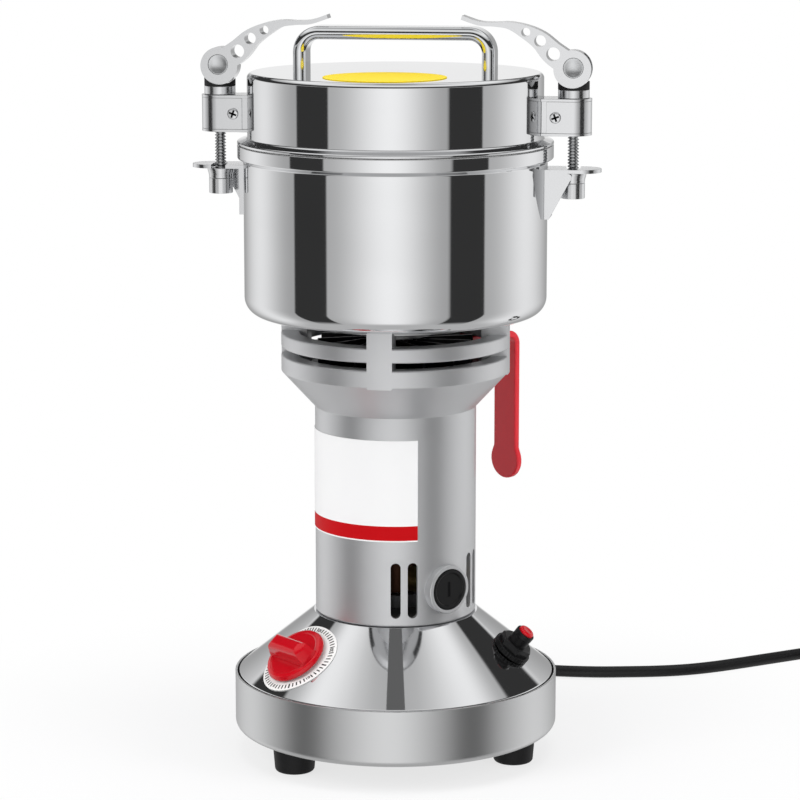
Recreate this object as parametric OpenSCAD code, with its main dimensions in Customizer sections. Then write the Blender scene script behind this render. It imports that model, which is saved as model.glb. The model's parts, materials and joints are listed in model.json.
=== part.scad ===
// Stand type electric grain mill: base with timer, motor column, steel pot and a clamped lid.
// The axis of the motor is Z, the feet stand on Z = 0 and the label faces the front, -Y.

/* [Base] */
// Outer diameter of the brushed base ring
ring_d = 180; // [170:1:190]
// Height of the base ring
ring_h = 31.6; // [28:0.2:36]
// Rounding of the base ring's lower edge
ring_edge_r = 4; // [2:0.5:5]
// Thickness of the base's sheet metal
sheet_t = 1.2; // [0.8:0.1:1.5]
// Height of the polished cone above the ring
cone_h = 34.4; // [30:0.2:40]
// Height of a rubber foot
foot_h = 15; // [12:0.5:20]
// Diameter of a rubber foot at its top
foot_d = 24; // [20:0.5:26]
// Radius of the circle through the feet
foot_circle_r = 70.5; // [68:0.5:72]

/* [Timer and reset button] */
// Azimuth of the timer, from the front towards the right
timer_az = -44; // [-50:1:-35]
// Height of the timer's centre above the ring
timer_rise = 16.2; // [15:0.2:18]
// Diameter of the timer's dial
dial_d = 46; // [42:0.5:48]
// Diameter of the timer's knob
knob_d = 36.5; // [32:0.5:38]
// Height of the timer knob's grip above its disc
grip_h = 9; // [7:0.5:11]
// Azimuth of the reset button
breaker_az = 77; // [70:1:85]
// Diameter of the reset button's barrel
barrel_d = 11; // [10:0.2:12]
// Travel of the reset button
button_travel = 1.8; // [1:0.1:2]

/* [Column] */
// Outer diameter of the motor column
col_d = 89.2; // [86:0.2:94]
// Height of the column's straight part
col_h = 116; // [112:1:125]
// Wall of the column's casting
col_wall = 3; // [2.4:0.2:3.6]
// Height of the flare above the straight part
flare_h = 20; // [18:0.5:24]
// Diameter of the flange
flange_d = 126; // [122:1:132]
// Height of the flange's rim
rim_h = 9.2; // [8:0.2:11]
// Height of the lower air slot
slot_h = 4.1; // [3.8:0.1:5]
// Height of the ring between the air slots
mid_ring_h = 7.9; // [7:0.1:9]
// Height of the upper air slot
upper_slot_h = 9.8; // [9:0.2:12]
// Width of a pillar in the air slots
pillar_w = 13.6; // [11:0.2:16]
// Azimuth of the brush caps
brush_az = 46.5; // [44:0.5:49]
// Height of the brush caps above the column's foot
brush_rise = 19.6; // [19:0.2:22]
// Height of the label plate
label_h = 56; // [50:1:60]

/* [Motor] */
// Diameter of the motor shaft
shaft_d = 10; // [9:0.5:11]
// Length of the armature's core
core_h = 49; // [44:1:52]
// Diameter of the cooling fan
fan_d = 92; // [86:1:96]

/* [Pot and lid] */
// Outer diameter of the pot
pot_d = 166; // [160:1:168]
// Height of the pot up to its collar
pot_h = 85.3; // [80:0.5:92]
// Thickness of the pot's steel
pot_t = 1.3; // [1:0.1:1.6]
// Rounding between the pot's floor and wall
pot_edge_r = 10; // [8:0.5:12]
// Outer diameter of the pot's collar
collar_d = 172.5; // [170:0.5:173]
// Height of the pot's collar
collar_h = 8.1; // [7.5:0.1:10]
// Outer diameter of the lid
lid_d = 161.4; // [160:0.2:161.4]
// Height of the lid above its bead
lid_h = 35.3; // [34:0.1:40]
// Diameter of the bare disc on the lid
disc_d = 66; // [56:1:68]
// Span of the lid handle
handle_span = 110; // [104:1:112]
// Height of the lid handle
handle_h = 24.7; // [22:0.1:24.8]

/* [Latches] */
// Distance of a clamp rod from the motor's axis
latch_x = 97; // [96:0.5:98]
// Diameter of a clamp rod
rod_d = 6.25; // [5.8:0.05:6.3]
// Height of a latch block
block_h = 20; // [18:0.5:21]
// Radius of a cam lever's head
head_r = 10.2; // [9.6:0.1:10.4]
// Offset of a cam lever's head from its pin
cam_offset = 0.9; // [0.5:0.1:1]
// Reach of a cam lever from its pin to its tip
lever_reach = 60.5; // [58:0.5:62]
// Rise of a cam lever's tip above its pin
lever_rise = 26.4; // [26:0.2:30]
// Width of a cam lever
lever_w = 11; // [10:0.2:12]
// Height of a clamp nut
nut_h = 14; // [12:0.5:15]

/* [Carry handle] */
// Azimuth of the carry handle
carry_az = 140.5; // [135:0.5:145]
// Distance of the hanging strap's outer face from the motor's axis
carry_reach = 88.3; // [84:0.5:92]
// Drop of the carry handle from its top to its end
carry_drop = 87; // [80:1:95]
// Width of the carry handle
carry_w = 17.5; // [15:0.5:19]

/* [Cord] */
// Diameter of the mains cord
cord_d = 7; // [6:0.1:7]
// Turns of the coil that the spare cord lies in
coil_turns = 3.25; // [2.25:1:4.25]

/* [Hidden] */
$fn = 96;
arc_steps = 6;

// Overrun of cuts, and the clearances that fits share
over = 2;
snug = 0.05;
clear = 0.3;
joint_gap = 0.9;

// Heights of the main levels
ring_top = foot_h + ring_h;
col_z = ring_top + cone_h;
flare_z = col_z + col_h;
rim_z = flare_z + flare_h;
slot_z = rim_z + rim_h;
mid_ring_z = slot_z + slot_h;
mid_ring_top = mid_ring_z + mid_ring_h;
pot_z = mid_ring_top + upper_slot_h;
collar_z = pot_z + pot_h;
pot_top = collar_z + collar_h;
lid_bead_z = pot_top + clear;
lid_bead_h = 3.3;
lid_top = lid_bead_z + lid_bead_h + lid_h;

// Radii of the main turned forms
ring_r = ring_d / 2;
ring_lip_r = 56;
col_r = col_d / 2;
bore_r = col_r - col_wall;
flange_r = flange_d / 2;
pot_r = pot_d / 2;
collar_r = collar_d / 2;
lid_r = lid_d / 2;
shaft_r = shaft_d / 2;
rod_r = rod_d / 2;
cord_r = cord_d / 2;

// Base plate, cone skirt and slope of the cone
plate_t = 3.2;
plate_z = foot_h + sheet_t;
plate_top = plate_z + plate_t;
plate_chamfer = ring_edge_r - sheet_t + clear;
skirt_r = ring_r - sheet_t - joint_gap;
cone_top_gap = 1.1;
plate_r = skirt_r + joint_gap / 2;
cone_top_r = col_r + cone_top_gap;
cone_hole_r = 30;
cone_tilt = atan2(cone_h, skirt_r - cone_top_r);

// Feet
foot_azs = [for (i = [0 : 2]) timer_az + 120 * i];
foot_taper = 1.2;
foot_edge_r = 2;
foot_screw_r = 2;
foot_head_r = 4.4;
foot_head_h = 3;
foot_sink = 6;

// Timer
dial_t = 0.6;
timer_bush_r = 4.5;
timer_bush_top = 4.2;
timer_shaft_r = 3;
timer_shaft_top = 11;
timer_case_r = 17;
timer_case_h = 16;
timer_case_gap = 2;
timer_boss_r = 7.5;
timer_nut_r = 8;
timer_nut_h = 2.4;
knob_lift = 1;
knob_disc_h = 4.6;
knob_edge_r = 2.4;
knob_lip_r = 1;
knob_recess_r = 9.6;
knob_recess_h = 3.4;
grip_w = 9;
grip_tip_w = 4.6;
grip_edge_r = 2.2;

// Reset button
ring_nut_r = 11;
ring_nut_h = 3;
knurl_count = 36;
knurl_r = 0.6;
hex_flats = 17;
hex_h = 4;
barrel_r = barrel_d / 2;
barrel_top = 14.4;
button_r = 4.4;
button_root = 7;
button_proud = 1.4;
breaker_case = [30, 15, 26];
breaker_case_gap = 1.2;

// Column and flange
col_edge_r = 2.5;
rim_edge_r = 2;
rim_bore_r = 54;
ring_bore_r = 53;
pillar_bore_r = 48;
shelf_h = 4;
shelf_r = 54;
vent_w = 5.5;
vent_h = 31;
vent_rise = 5;
vent_azs = [8, 20, 72.5, 84];
boss_r = 13.6;
boss_proud = 3;
cap_r = 11.35;
cap_t = 5;
cap_slot = [8.4, 1.3, 1.2];
brush_z = col_z + brush_rise;
label_t = 0.35;
label_az = -44;
label_span = 135;
label_drop = 12.2;
label_rise = col_h - label_h - label_drop;

// Motor
bracket_t = 4;
bracket_hub_r = 17;
bracket_hub_h = 11;
lower_bearing_r = 13;
lower_bearing_h = 8;
upper_bearing_r = 15;
upper_bearing_h = 9;
plate_hub_r = 20;
plate_hub_h = 11.5;
plate_lip_t = 1.5;
plate_lip_r = 11;
race_groove_r = 1.6;
commutator_r = 12;
commutator_h = 16;
holder_r = 7;
holder_bore_r = 5;
brush_len = 13;
brush_r = 4.7;
spring_wire_r = 0.8;
core_rise = 47;
core_z = col_z + core_rise;
armature_share = 0.553;
armature_r = armature_share * bore_r;
armature_slots = 12;
armature_slot_r = 2.6;
winding_h = 12;
winding_share = 0.78;
winding_r = winding_share * armature_r;
air_gap = 0.6;
yoke_t = 7.6;
yoke_r = bore_r - yoke_t;
pole_share = 0.625;
pole_w = pole_share * bore_r;
coil_share = 0.96;
coil_w = coil_share * bore_r;
coil_over = 9;
winding_gap = 1.4;
coil_in_r = armature_r + air_gap + winding_gap;
fan_r = fan_d / 2;
fan_hub_r = 9;
fan_plate_t = 1.5;
fan_blade_t = 1.2;
fan_blade_h = 13.5;
fan_blade_in_r = 14;
fan_blades = 14;
fan_sweep = 24;
fan_rise = 3;
fan_z = rim_z + fan_rise;
fan_blade_share = 0.65;

// Pot, shaft seal and blades
collar_step = 2;
seal_r = 12;
seal_body_r = 16;
seal_h = 6;
seal_z = pot_z + pot_t;
spacer_r = 9;
spacer_gap = 1;
spacer_z = seal_z + seal_h + spacer_gap;
spacer_h = 7;
stud_r = 4;
blade_t = 2.2;
blade_w = 20;
blade_z = spacer_z + spacer_h;
blade_bend_r = 30;
lower_blade_reach = 39;
lower_blade_dip = 9;
upper_blade_reach = 38;
upper_blade_lift = 28;
blade_edge_w = 6;
blade_edge_share = 0.5;
blade_nut_r = 8;
blade_nut_h = 7;
pot_screw_r = 2;
pot_screw_circle_r = 58.5;
pot_screw_head_r = 3.7;
pot_screw_head_h = 2;
pot_screw_len = 14;

// Lid
lid_t = 1.2;
lid_edge_r = 3;
lid_spigot_h = 6.4;
lid_seal_w = 3.9;
disc_t = 0.4;
disc_setback = 41;
bar_t = 7;
bar_w = 22;
bar_bend_r = 14;
bar_round_share = 0.49;

// Latches
block_rise = 5.6;
block_z = lid_bead_z + block_rise;
block_half_w = 10;
block_flange_t = 1.5;
strap_t = 1.25;
strap_end_share = 0.15;
block_len = latch_x - lid_r;
block_top = block_z + block_h;
strap_screw_back = 9;
strap_screw_x = latch_x - strap_screw_back;
strap_screw_r = 1.5;
strap_head_r = 3.15;
strap_head_h = 1.4;
latch_collar_r = 8.55;
latch_collar_h = 4.6;
pad_z = block_top + latch_collar_h;
pad_h = 4.4;
pad_floor_t = 0.5;
cam_angle = 35;
pin_r = 5.5;
pin_dish_r = 4.4;
pin_dish_h = 0.8;
dish_ball_r = (pin_dish_r * pin_dish_r / pin_dish_h + pin_dish_h) / 2;
head_z = pad_z + pad_floor_t + clear + head_r;
pin_z = head_z + cam_offset * cos(cam_angle);
head_x = latch_x - cam_offset * sin(cam_angle);
pad_recess_r = head_r + 2 * clear - snug;
pad_recess_x = latch_x - cam_offset * (1 + sin(cam_angle)) / 2;
head_slot_play = 0.75;
head_slot_w = rod_d + head_slot_play;
head_slot_rise = 7.6;
rod_foot = 3;
// Spine of a cam lever from its head to its tip: inward share of the reach, share of the rise
// and half width as a share of the head's radius
spine_shares = [[0, 0, 0.62], [0.18, 0.28, 0.60], [0.297, 0.54, 0.49], [0.43, 0.72, 0.36],
    [0.575, 0.845, 0.19], [0.71, 0.865, 0.11], [0.845, 0.885, 0.11], [1, 1, 0.11]];
// Lightening holes of a cam lever: shares of the reach, the rise and the head's radius
hole_shares = [[0.18, 0.275, 0.365], [0.297, 0.54, 0.31], [0.425, 0.715, 0.24]];

// Fork brackets
fork_gap = 14.1;
fork_t = 2;
fork_half_w = 10.5;
fork_reach = 15.5;
fork_slot_play = 0.8;
fork_swing = 9;
leaf_t = 1.9;
gusset_t = 2;
gusset_h = 25;
gusset_reach = 13.5;
fork_top = pot_top - fork_gap + fork_t;
nut_z = fork_top - fork_t - clear - nut_h;
nut_body_r = 6.6;
nut_flange_r = 7.3;
nut_flange_h = 1.2;
nut_neck_h = 3;

// Carry handle
carry_t = slot_h - clear;
carry_edge_r = 1.8;
carry_bend_r = 6;
carry_end_r = 11;
carry_end_t = carry_t + clear;
carry_root_r = 50;
carry_screw_r = 1.5;
carry_screw_circle_r = 58;
carry_screw_pitch = 9;
carry_screw_head_r = 2.8;
carry_screw_head_h = 1.8;
carry_screw_len = 18;
carry_z = slot_z + slot_h / 2;

// Gland and plug
gland_rise = 15;
gland_z = foot_h + gland_rise;
gland_flange_r = 8.5;
gland_flange_t = 3;
gland_neck_r = 6;
gland_root_r = 6.5;
gland_tip_r = 4.6;
gland_len = 28;
plug_w = 25;
plug_len = 30;
plug_edge_r = 5;
relief_len = 22;
relief_r = 6.6;
prong_len = 17;
prong = [6.3, 1.5];
prong_pitch = 12.7;
prong_rise = 4;
ground_r = 2.4;
ground_drop = 7.9;
ground_len = 20;

// Route of the cord from its gland along the floor to its coil
route = [[0, 121, 30], [0, 130, 30], [2.5, 141.5, 27.5], [9, 151, 21.5], [18.5, 157.5, 14.5],
    [30, 160.5, 8.8],
    [43, 161, 5], [57, 160, 3.7], [72, 158.5, 3.5], [88, 158, 3.5], [104, 159, 3.5], [119, 161.5, 3.5],
    [134, 164.5, 3.5], [148, 168.5, 3.5], [161, 174, 3.5], [174, 181.5, 3.5], [187, 190.5, 3.5],
    [200, 200, 3.5], [213, 209.5, 3.5], [226, 219, 3.5], [239, 228.5, 3.5], [252, 238, 3.5],
        [258, 242.4, 3.5]];
coil_in_turn_r = 35;
coil_spacing = 0.7;
coil_pitch = cord_d + coil_spacing;
coil_rings = 24;
coil_sides = 6;
cord_sides = 8;

// Unit vector from one point to another
function unit(a, b) = (b - a) / norm(b - a);

// Arc that rounds corner b, between a and c, by radius r or as much of it as the sides hold
function corner_arc(a, b, c, r) =
    r <= 0 ? [b] :
    let (u = unit(b, a), v = unit(b, c), half = acos(max(-1, min(1, u * v))) / 2,
        reach = min(r / tan(half), 0.499 * min(norm(a - b), norm(c - b))), s = reach * tan(half),
        centre = b + unit([0, 0], u + v) * (s / sin(half)), p = b + u * reach - centre,
            q = b + v * reach - centre,
        from = atan2(p.y, p.x), turn = (atan2(q.y, q.x) - from + 540) % 360 - 180)
    [for (i = [0 : arc_steps]) centre + s * [cos(from + turn * i / arc_steps),
        sin(from + turn * i / arc_steps)]];

// Outline through [x, y, radius] corners
function rounded(corners) =
    let (n = len(corners))
    [for (i = [0 : n - 1])
        let (a = corners[(i + n - 1) % n], b = corners[i], c = corners[(i + 1) % n])
        each corner_arc([a.x, a.y], [b.x, b.y], [c.x, c.y], b.z)];

// Point of a smooth curve through p1 and p2, at share t of the way
function smooth_point(p0, p1, p2, p3, t) =
    0.5 * (2 * p1 + (p2 - p0) * t + (2 * p0 - 5 * p1 + 4 * p2 - p3) * t * t
        + (3 * p1 - p0 - 3 * p2 + p3) * t * t * t);

// Smooth curve through a list of points, with n steps between neighbours
function smooth(pts, n) =
    let (m = len(pts) - 1)
    [for (i = [0 : m - 1]) for (k = [0 : n - 1])
        smooth_point(pts[max(i - 1, 0)], pts[i], pts[i + 1], pts[min(i + 2, m)], k / n), pts[m]];

// Heading of a path at its point i
function heading(path, i) =
    let (m = len(path) - 1)
    i == 0 ? unit(path[0], path[1]) : i == m ? unit(path[m - 1], path[m]) : unit(path[i - 1], path[i + 1]);

// Ring of n points of radius r round a path's point, square to the heading t
function path_ring(p, t, r, n) =
    let (side = unit([0, 0, 0], cross(t, [0, 0, 1])), up = cross(side, t))
    [for (k = [0 : n - 1]) p + r * (cos(360 * k / n) * side + sin(360 * k / n) * up)];

// One closed tube of radius r and n sides along a path
module tube(path, r, n) {
    m = len(path);
    pts = [for (i = [0 : m - 1]) each path_ring(path[i], heading(path, i), r, n)];
    sides = [for (i = [0 : m - 2]) for (k = [0 : n - 1])
        let (a = i * n + k, b = i * n + (k + 1) % n) each [[a, b, b + n], [a, b + n, a + n]]];
    start_cap = [for (k = [1 : n - 2]) [0, k + 1, k]];
    end_cap = [for (k = [1 : n - 2]) [(m - 1) * n, (m - 1) * n + k, (m - 1) * n + k + 1]];
    polyhedron(points = pts, faces = concat(sides, start_cap, end_cap));
}

// Solid turned round Z from an outline of [radius, z, rounding] corners
module turned(corners) {
    rotate_extrude() polygon(rounded(corners));
}

// Ring round Z
module ring(outer_r, inner_r, z, h) {
    translate([0, 0, z]) difference() {
        cylinder(r = outer_r, h = h);
        translate([0, 0, -over]) cylinder(r = inner_r, h = h + 2 * over);
    }
}

// Children turned so that their +X points at an azimuth, from the front towards the right
module facing(az) {
    rotate([0, 0, az - 90]) children();
}

// Children placed on the cone, with Z along its normal and X down its slope
module on_cone(az, rise) {
    facing(az) translate([skirt_r - rise / tan(cone_tilt), 0, ring_top + rise]) rotate([0, cone_tilt, 0])
        children();
}

// Children at the right latch, and their mirror image at the left one
module both_latches() {
    children();
    mirror([1, 0, 0]) children();
}

// Ring wall with the turned-in lip that the base plate lies on
module base_ring() {
    color("silver") difference() {
        turned([[ring_r, ring_top, sheet_t / 3], [ring_r, foot_h, ring_edge_r], [ring_lip_r, foot_h, 0],
            [ring_lip_r, foot_h + sheet_t, 0], [ring_r - sheet_t, foot_h + sheet_t, ring_edge_r - sheet_t],
            [ring_r - sheet_t, ring_top, sheet_t / 3]]);
        foot_bores();
        gland_bore();
    }
}

// Bores of the foot screws through the lip and the plate
module foot_bores() {
    for (az = foot_azs)
        facing(az) translate([foot_circle_r, 0, foot_h - over])
            cylinder(r = foot_screw_r + snug, h = sheet_t + plate_t + 2 * over);
}

// Bore of the gland through the ring and the cone's skirt
module gland_bore() {
    translate([0, skirt_r - sheet_t - over, gland_z]) rotate([-90, 0, 0])
        cylinder(r = gland_neck_r + snug, h = ring_r - skirt_r + sheet_t + 2 * over);
}

// Cone with its skirt, and the flat top that the column stands on
module base_cone() {
    inset = sheet_t * tan(cone_tilt / 2);
    drop = sheet_t * tan((90 - cone_tilt) / 2);
    color("gainsboro") difference() {
        turned([[skirt_r, plate_top, 0], [skirt_r, ring_top, sheet_t], [cone_top_r, col_z, 0],
            [cone_hole_r, col_z, 0],
            [cone_hole_r, col_z - sheet_t, 0], [cone_top_r - inset, col_z - sheet_t, 0],
            [skirt_r - sheet_t, ring_top - drop, 0], [skirt_r - sheet_t, plate_top, 0]]);
        on_cone(timer_az, timer_rise) translate([0, 0, -timer_case_h])
            cylinder(r = timer_bush_r + clear, h = timer_case_h + over);
        on_cone(breaker_az, timer_rise) translate([0, 0, -timer_case_h])
            cylinder(r = barrel_r + clear, h = timer_case_h + over);
        gland_bore();
    }
}

module base_plate() {
    color("dimgray") difference() {
        turned([[0, plate_z, 0], [plate_r - plate_chamfer, plate_z, 0], [plate_r, plate_z + plate_chamfer, 0],
            [plate_r, plate_top, 0], [0, plate_top, 0]]);
        foot_bores();
    }
}

module rubber_feet() {
    foot_r = foot_d / 2;
    color("#1c1c1e") for (az = foot_azs)
        facing(az) translate([foot_circle_r, 0, 0]) difference() {
            turned([[foot_screw_r + snug, 0, 0], [foot_r - foot_taper, 0, foot_edge_r], [foot_r, foot_h, 0],
                [foot_screw_r + snug, foot_h, 0]]);
            translate([0, 0, -over]) cylinder(r = foot_head_r + clear, h = foot_sink + over);
        }
}

module foot_screws() {
    color("silver") for (az = foot_azs)
        facing(az) translate([foot_circle_r, 0, foot_sink - foot_head_h]) {
            cylinder(r = foot_head_r, h = foot_head_h);
            cylinder(r = foot_screw_r, h = plate_top - foot_sink + foot_head_h);
        }
}

// Timer: case under the cone with its threaded bush through the sheet
module timer_body() {
    color("whitesmoke") on_cone(timer_az, timer_rise) difference() {
        union() {
            translate([0, 0, -sheet_t - timer_case_gap - timer_case_h])
                cylinder(r = timer_case_r, h = timer_case_h);
            translate([0, 0, -sheet_t - timer_case_gap])
                cylinder(r = timer_boss_r, h = timer_case_gap - clear);
            translate([0, 0, -sheet_t - timer_case_gap])
                cylinder(r = timer_bush_r, h = timer_case_gap + sheet_t + timer_bush_top);
        }
        translate([0, 0, -timer_case_h]) cylinder(r = timer_shaft_r + snug,
            h = timer_case_h + timer_bush_top + over);
    }
}

module timer_nut() {
    color("silver") on_cone(timer_az, timer_rise)
        translate([0, 0, dial_t + snug]) difference() {
            cylinder(r = timer_nut_r, h = timer_nut_h, $fn = 6);
            translate([0, 0, -over]) cylinder(r = timer_bush_r + snug, h = timer_nut_h + 2 * over);
        }
}

// Thin printed dial that lies on the cone
module timer_dial() {
    dial_r = dial_d / 2;
    color("white") difference() {
        intersection() {
            turned([[skirt_r + dial_t * sin(cone_tilt), ring_top + dial_t * cos(cone_tilt), 0],
                [cone_top_r + dial_t * sin(cone_tilt), col_z + dial_t * cos(cone_tilt), 0],
                [cone_top_r + snug * sin(cone_tilt), col_z + snug * cos(cone_tilt), 0],
                [skirt_r + snug * sin(cone_tilt), ring_top + snug * cos(cone_tilt), 0]]);
            on_cone(timer_az, timer_rise) translate([0, 0, -dial_r / 2]) cylinder(r = dial_r, h = dial_r);
        }
        on_cone(timer_az, timer_rise) translate([0, 0, -over])
            cylinder(r = timer_bush_r + clear, h = 2 * over + dial_t);
    }
}

module timer_shaft() {
    color("silver") on_cone(timer_az, timer_rise) translate([0, 0, -timer_case_h + over])
        cylinder(r = timer_shaft_r, h = timer_case_h - over + timer_shaft_top - knob_disc_h);
}

// Round knob with a raised bar to grip
module timer_knob() {
    knob_r = knob_d / 2;
    foot_z = dial_t + knob_lift;
    color("#d4141c") on_cone(timer_az, timer_rise) difference() {
        union() {
            translate([0, 0, foot_z]) turned([[0, 0, 0], [knob_r, 0, knob_lip_r],
                [knob_r - knob_edge_r / 2, knob_disc_h, knob_edge_r], [0, knob_disc_h, 0]]);
            intersection() {
                translate([0, knob_r, foot_z]) rotate([90, 0, 0]) linear_extrude(height = knob_d)
                    polygon(rounded([[-grip_w / 2, 0, 0], [grip_w / 2, 0, 0],
                        [grip_tip_w / 2, knob_disc_h + grip_h, grip_edge_r],
                        [-grip_tip_w / 2, knob_disc_h + grip_h, grip_edge_r]]));
                translate([0, 0, foot_z]) turned([[0, 0, 0], [knob_r - knob_edge_r, 0, 0],
                    [knob_r - 2 * knob_edge_r, knob_disc_h + grip_h, grip_edge_r],
                        [0, knob_disc_h + grip_h, 0]]);
            }
        }
        translate([0, 0, foot_z - over]) cylinder(r = knob_recess_r, h = knob_recess_h + over);
        cylinder(r = timer_shaft_r + snug, h = timer_shaft_top - knob_disc_h + over);
    }
}

// Circuit breaker: case under the cone with its threaded barrel through the sheet
module breaker_body() {
    color("#202022") on_cone(breaker_az, timer_rise) difference() {
        union() {
            translate([-breaker_case.x / 2, -breaker_case.y / 2,
                -sheet_t - breaker_case_gap - breaker_case.z]) cube(breaker_case);
            translate([0, 0, -sheet_t - breaker_case_gap])
                cylinder(r = barrel_r, h = sheet_t + breaker_case_gap + barrel_top);
        }
        translate([0, 0, button_root - button_travel - clear])
            cylinder(r = button_r + clear / 3, h = barrel_top);
    }
}

module breaker_ring_nut() {
    color("#1a1a1c") on_cone(breaker_az, timer_rise) translate([0, 0, snug]) difference() {
        cylinder(r = ring_nut_r, h = ring_nut_h);
        translate([0, 0, -over]) cylinder(r = barrel_r + snug, h = ring_nut_h + 2 * over);
        for (i = [0 : knurl_count - 1])
            rotate([0, 0, 360 * i / knurl_count]) translate([ring_nut_r + knurl_r / 2, 0, -over])
                cylinder(r = knurl_r, h = ring_nut_h + 2 * over, $fn = 16);
    }
}

module breaker_hex_nut() {
    color("#1a1a1c") on_cone(breaker_az, timer_rise) translate([0, 0, ring_nut_h + 2 * snug]) difference() {
        cylinder(r = hex_flats / sqrt(3), h = hex_h, $fn = 6);
        translate([0, 0, -over]) cylinder(r = barrel_r + snug, h = hex_h + 2 * over);
    }
}

module breaker_button() {
    color("#d4141c") on_cone(breaker_az, timer_rise) translate([0, 0, button_root])
        turned([[0, 0, 0], [button_r, 0, 0], [button_r, barrel_top - button_root + button_proud,
            button_proud / 2],
            [0, barrel_top - button_root + button_proud, 0]]);
}

// Gland: snap-in neck, flange and tapered strain relief
module cord_gland() {
    color("#161616") translate([0, ring_r, gland_z]) rotate([-90, 0, 0]) {
        translate([0, 0, snug - joint_gap - 2 * sheet_t])
            cylinder(r = gland_neck_r, h = joint_gap + 2 * sheet_t);
        translate([0, 0, snug]) turned([[0, 0, 0], [gland_flange_r, 0, 0],
            [gland_flange_r, gland_flange_t, gland_flange_t / 3],
            [gland_root_r, gland_flange_t, 0], [gland_tip_r, gland_flange_t + gland_len - snug, 0],
            [0, gland_flange_t + gland_len - snug, 0]]);
    }
}

// Path of the coil: straight in, spiral in, climb a layer, spiral out, straight out
coil_start = route[len(route) - 1];
coil_heading = heading(route, len(route) - 1);
coil_az = atan2(coil_heading.y, coil_heading.x);
coil_r = coil_in_turn_r + coil_pitch * coil_turns / 2;
coil_entry = coil_start + cord_d * [cos(coil_az), sin(coil_az), 0];
coil_centre = coil_entry + coil_r * [sin(coil_az), -cos(coil_az), 0];
coil_steps = round(coil_turns * coil_rings);
function coil_point(i) =
    let (t = i / coil_rings, s = t - coil_turns / 2, a = coil_az + 90 - 360 * t,
        r = coil_in_turn_r + coil_pitch * abs(s), climb = max(0, min(1, 0.5 + 2 * s)))
    coil_centre + [r * cos(a), r * sin(a), coil_pitch * climb];
coil_out_az = coil_az - 360 * coil_turns;
coil_last = coil_point(coil_steps);
coil_tail = 2 * cord_d;
coil_end = coil_last + coil_tail * [cos(coil_out_az), sin(coil_out_az), 0];
coil_path = concat([coil_start], [for (i = [0 : coil_steps]) coil_point(i)], [coil_end]);
coil_gap = min([for (i = [0 : len(coil_path) - 1 - coil_rings / 2])
    for (k = [i + coil_rings / 2 : len(coil_path) - 1])
    norm(coil_path[i] - coil_path[k])]) - cord_d;
function path_length(path) = let (steps = [for (i = [1 : len(path) - 1]) norm(path[i] - path[i - 1])])
    steps * [for (s = steps) 1];
echo("Least gap between the coil's turns", coil_gap);
echo("Length of the cord on the floor and in its coil", path_length(route) + path_length(coil_path));

module power_cord() {
    color("#161616") tube(route, cord_r, cord_sides);
}

module cord_coil() {
    color("#161616") tube(coil_path, cord_r, coil_sides);
}

// Children at the coil's end, with Z along the plug
module at_plug() {
    translate(coil_end) rotate([0, 0, coil_out_az]) rotate([0, 90, 0]) children();
}

module plug() {
    half_h = coil_end.z;
    color("#161616") at_plug() {
        turned([[0, 0, 0], [gland_tip_r, 0, 0], [relief_r, relief_len, 0], [0, relief_len, 0]]);
        translate([0, 0, relief_len]) linear_extrude(height = plug_len)
            polygon(rounded([for (c = [[1, 1], [-1, 1], [-1, -1], [1, -1]]) [c.x * half_h, c.y * plug_w / 2,
                plug_edge_r]]));
    }
}

module plug_blades() {
    color("silver") at_plug() translate([0, 0, relief_len + plug_len]) {
        for (side = [-1, 1])
            translate([-prong_rise - prong.x / 2, side * prong_pitch / 2 - prong.y / 2, 0])
                cube([prong.x, prong.y, prong_len]);
        translate([ground_drop, 0, 0]) cylinder(r = ground_r, h = ground_len);
    }
}

// Vertical slot with round ends, cut through the column's wall
module vent() {
    for (z = [vent_w / 2, vent_h - vent_w / 2])
        translate([bore_r - over, 0, z]) rotate([0, 90, 0]) cylinder(r = vent_w / 2, h = col_wall + 2 * over);
    translate([bore_r - over, -vent_w / 2, vent_w / 2]) cube([col_wall + 2 * over, vent_w, vent_h - vent_w]);
}

// Children at both brush caps, with Z pointing out of the column
module both_brushes() {
    for (az = [brush_az, brush_az + 180])
        facing(az) translate([0, 0, brush_z]) rotate([0, 90, 0]) children();
}

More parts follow.
